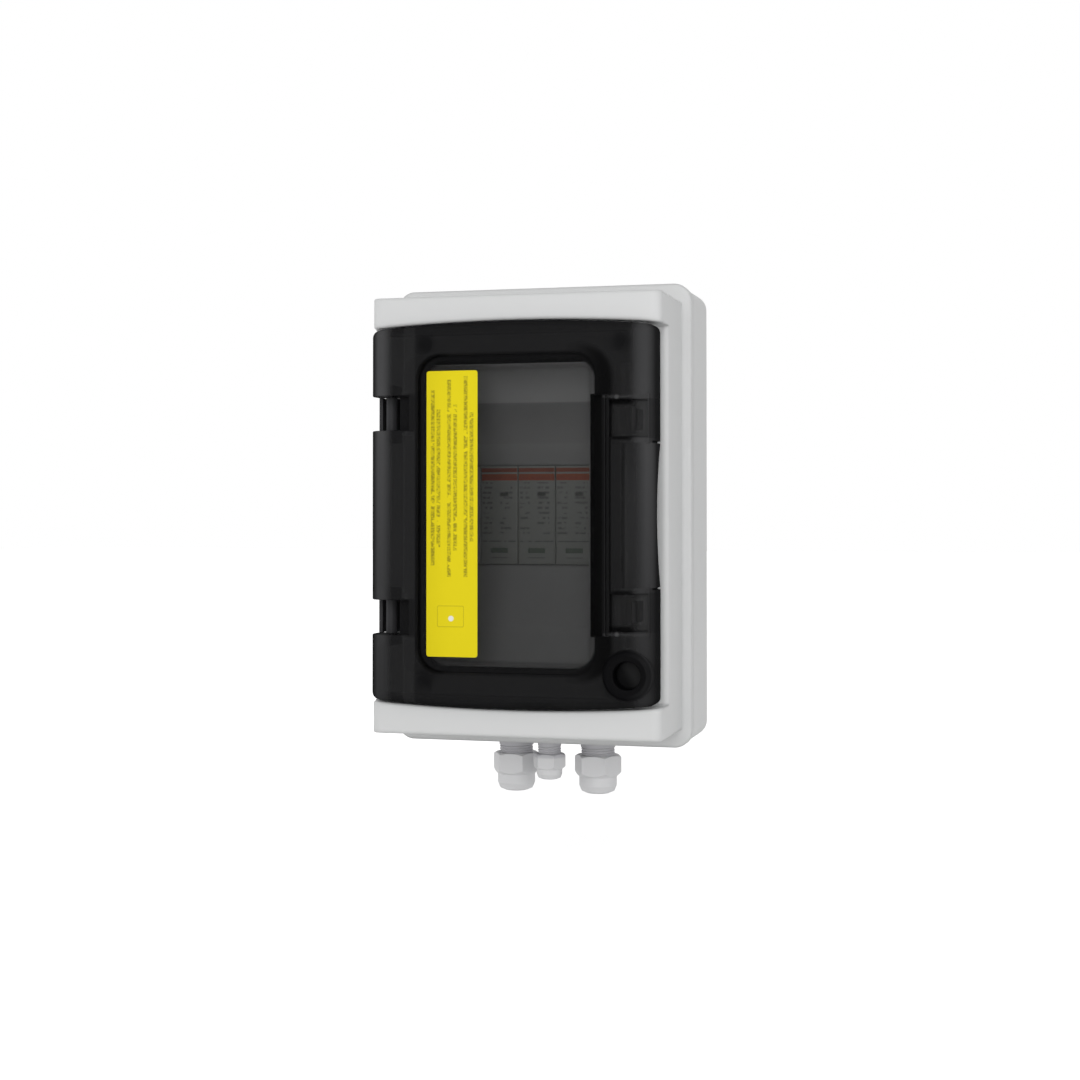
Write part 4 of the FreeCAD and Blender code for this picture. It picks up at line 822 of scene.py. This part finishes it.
def lamp(name, place, target, size, power):
    """An area lamp turned to a target."""
    aim = (Vector(target) - Vector(place)).to_track_quat("-Z", "Y").to_euler()
    bpy.ops.object.light_add(type="AREA", location=place, rotation=aim)
    light = bpy.context.object
    light.name = name
    light.data.shape = "RECTANGLE"
    light.data.size, light.data.size_y = size
    light.data.energy = power
    light.select_set(False)


FLOOR_SIZE = 8.0
FLOOR_PLACE = (0, 2.5, -0.165)
FLOOR_FADE = Ramp(-200.0, 620.0)
FLOOR_GREY = (0.8, 0.8, 0.8)
FLOOR_NEAR, FLOOR_FAR = (0.5, 0.5, 0.5), (0.95, 0.95, 0.95)
AIM = (0, -0.05, 0)
# Name, place, size and the look that gives the power
LAMPS = (("key_lamp", (0.22, -1.55, 0.33), (1.0, 1.0), "key"),
         ("left_lamp", (-1.32, -0.48, 0.15), (0.3, 1.2), "side"),
         ("right_lamp", (1.3, -0.55, 0.15), (0.3, 1.2), "side"))
BROW_FRONT = -94.5 * MM
# The photo in pixels: its side, the lens's axis, and where the middle of the front is seen
PICTURE = 1080.0
LENS_CENTRE = (537.5, 479.6)
SEEN_AT = (512.7, 515.3)
SENSOR = 36.0


class BOX_OT_stage(bpy.types.Operator):
    """Set up the pale floor, the soft lamps and the camera"""
    bl_idname = "box.stage"
    bl_label = "Stage"

    def execute(self, context):
        look = look_of(context, "stage")
        scene = context.scene
        scene.view_settings.view_transform = "Standard"
        clear_selection()
        bpy.ops.mesh.primitive_plane_add(size=FLOOR_SIZE, location=FLOOR_PLACE)
        floor = context.object
        floor.name = "floor"
        bpy.ops.object.transform_apply(location=True, rotation=True, scale=True)
        ground = Finish("pale_floor")
        x, y, z = ground.axes()
        far = FLOOR_FADE.over((x * x + y * y).root())
        path = {word: ground.node("ShaderNodeLightPath", {}, {}, f"Is {word} Ray")
                for word in ("Camera", "Glossy", "Transmission")}
        seen = path["Camera"].at_least(path["Glossy"]).at_least(path["Transmission"])
        glow = ground.mix(seen, BLACK, ground.mix(far, FLOOR_NEAR, FLOOR_FAR))
        ground.surface(Base_Color=FLOOR_GREY, Roughness=0.9, Specular_IOR_Level=0.1,
                       Emission_Color=glow, Emission_Strength=1.0)
        floor.data.materials.append(ground.material)
        floor.select_set(False)
        self.set_world(scene, look)
        for name, place, size, power in LAMPS:
            lamp(name, place, AIM, size, getattr(look, power))
        self.set_camera(scene, look)
        return {"FINISHED"}

    def set_world(self, scene, look):
        """Even light on the object, and white where the camera sees past it."""
        world = bpy.data.worlds.new("studio")
        scene.world = world
        world.use_nodes = True
        tree = world.node_tree
        tree.nodes.clear()
        paths = tree.nodes.new("ShaderNodeLightPath")
        blend = tree.nodes.new("ShaderNodeMixShader")
        output = tree.nodes.new("ShaderNodeOutputWorld")
        for slot, strength in ((1, look.sky), (2, 1.0)):
            background = tree.nodes.new("ShaderNodeBackground")
            background.inputs["Color"].default_value = (1, 1, 1, 1)
            background.inputs["Strength"].default_value = strength
            tree.links.new(background.outputs[0], blend.inputs[slot])
        seen = paths.outputs["Is Camera Ray"]
        for word in ("Glossy", "Transmission"):
            either = tree.nodes.new("ShaderNodeMath")
            either.operation = "MAXIMUM"
            tree.links.new(seen, either.inputs[0])
            tree.links.new(paths.outputs[f"Is {word} Ray"], either.inputs[1])
            seen = either.outputs[0]
        tree.links.new(seen, blend.inputs[0])
        tree.links.new(blend.outputs[0], output.inputs["Surface"])

    def set_camera(self, scene, look):
        """Stand the camera where the photo was taken from."""
        middle = Vector((0, BROW_FRONT, 0))
        forward = Vector((-math.sin(look.azimuth) * math.cos(look.rise),
                          math.cos(look.azimuth) * math.cos(look.rise), math.sin(look.rise)))
        right = Vector((math.cos(look.azimuth), math.sin(look.azimuth), 0))
        upward = right.cross(forward)
        across = (SEEN_AT[0] - LENS_CENTRE[0]) / look.focal * look.distance
        along = -(SEEN_AT[1] - LENS_CENTRE[1]) / look.focal * look.distance
        place = middle - forward * look.distance - right * across - upward * along
        bpy.ops.object.camera_add()
        camera = bpy.context.object
        turn = Matrix((right, upward, -forward)).transposed().to_4x4()
        camera.matrix_world = Matrix.Translation(place) @ turn
        camera.data.sensor_width = SENSOR
        camera.data.lens = look.focal / PICTURE * SENSOR
        camera.data.shift_x = (PICTURE / 2 - LENS_CENTRE[0]) / PICTURE
        camera.data.shift_y = -(PICTURE / 2 - LENS_CENTRE[1]) / PICTURE
        camera.data.clip_start = 0.01
        scene.camera = camera


class BOX_PT_panel(bpy.types.Panel):
    """Lists the looks and the steps of the combiner box"""
    bl_label = "Solar Combiner Box"
    bl_space_type = "VIEW_3D"
    bl_region_type = "UI"
    bl_category = "Combiner Box"

    def draw(self, context):
        for name, group in LOOKS.items():
            column = self.layout.column(align=True)
            column.label(text=name.capitalize())
            for item in group.__annotations__:
                column.prop(look_of(context, name), item)
        for step in STEPS:
            self.layout.operator(step.bl_idname)


STEPS = (BOX_OT_casing, BOX_OT_door, BOX_OT_label, BOX_OT_modules, BOX_OT_metal, BOX_OT_glands, BOX_OT_stage)


def register():
    for item in (*LOOKS.values(), *STEPS, BOX_PT_panel):
        bpy.utils.register_class(item)
    for name, group in LOOKS.items():
        setattr(bpy.types.Scene, f"box_{name}_look", bpy.props.PointerProperty(type=group))


def unregister():
    for name in LOOKS:
        delattr(bpy.types.Scene, f"box_{name}_look")
    for item in reversed((*LOOKS.values(), *STEPS, BOX_PT_panel)):
        bpy.utils.unregister_class(item)


def main():
    register()
    clear_selection()
    for step in STEPS:
        name = step.bl_idname.split(".")[1]
        if getattr(bpy.ops.box, name)() != {"FINISHED"}:
            raise RuntimeError(f"{step.bl_idname} didn't finish")


if __name__ == "__main__":
    main()
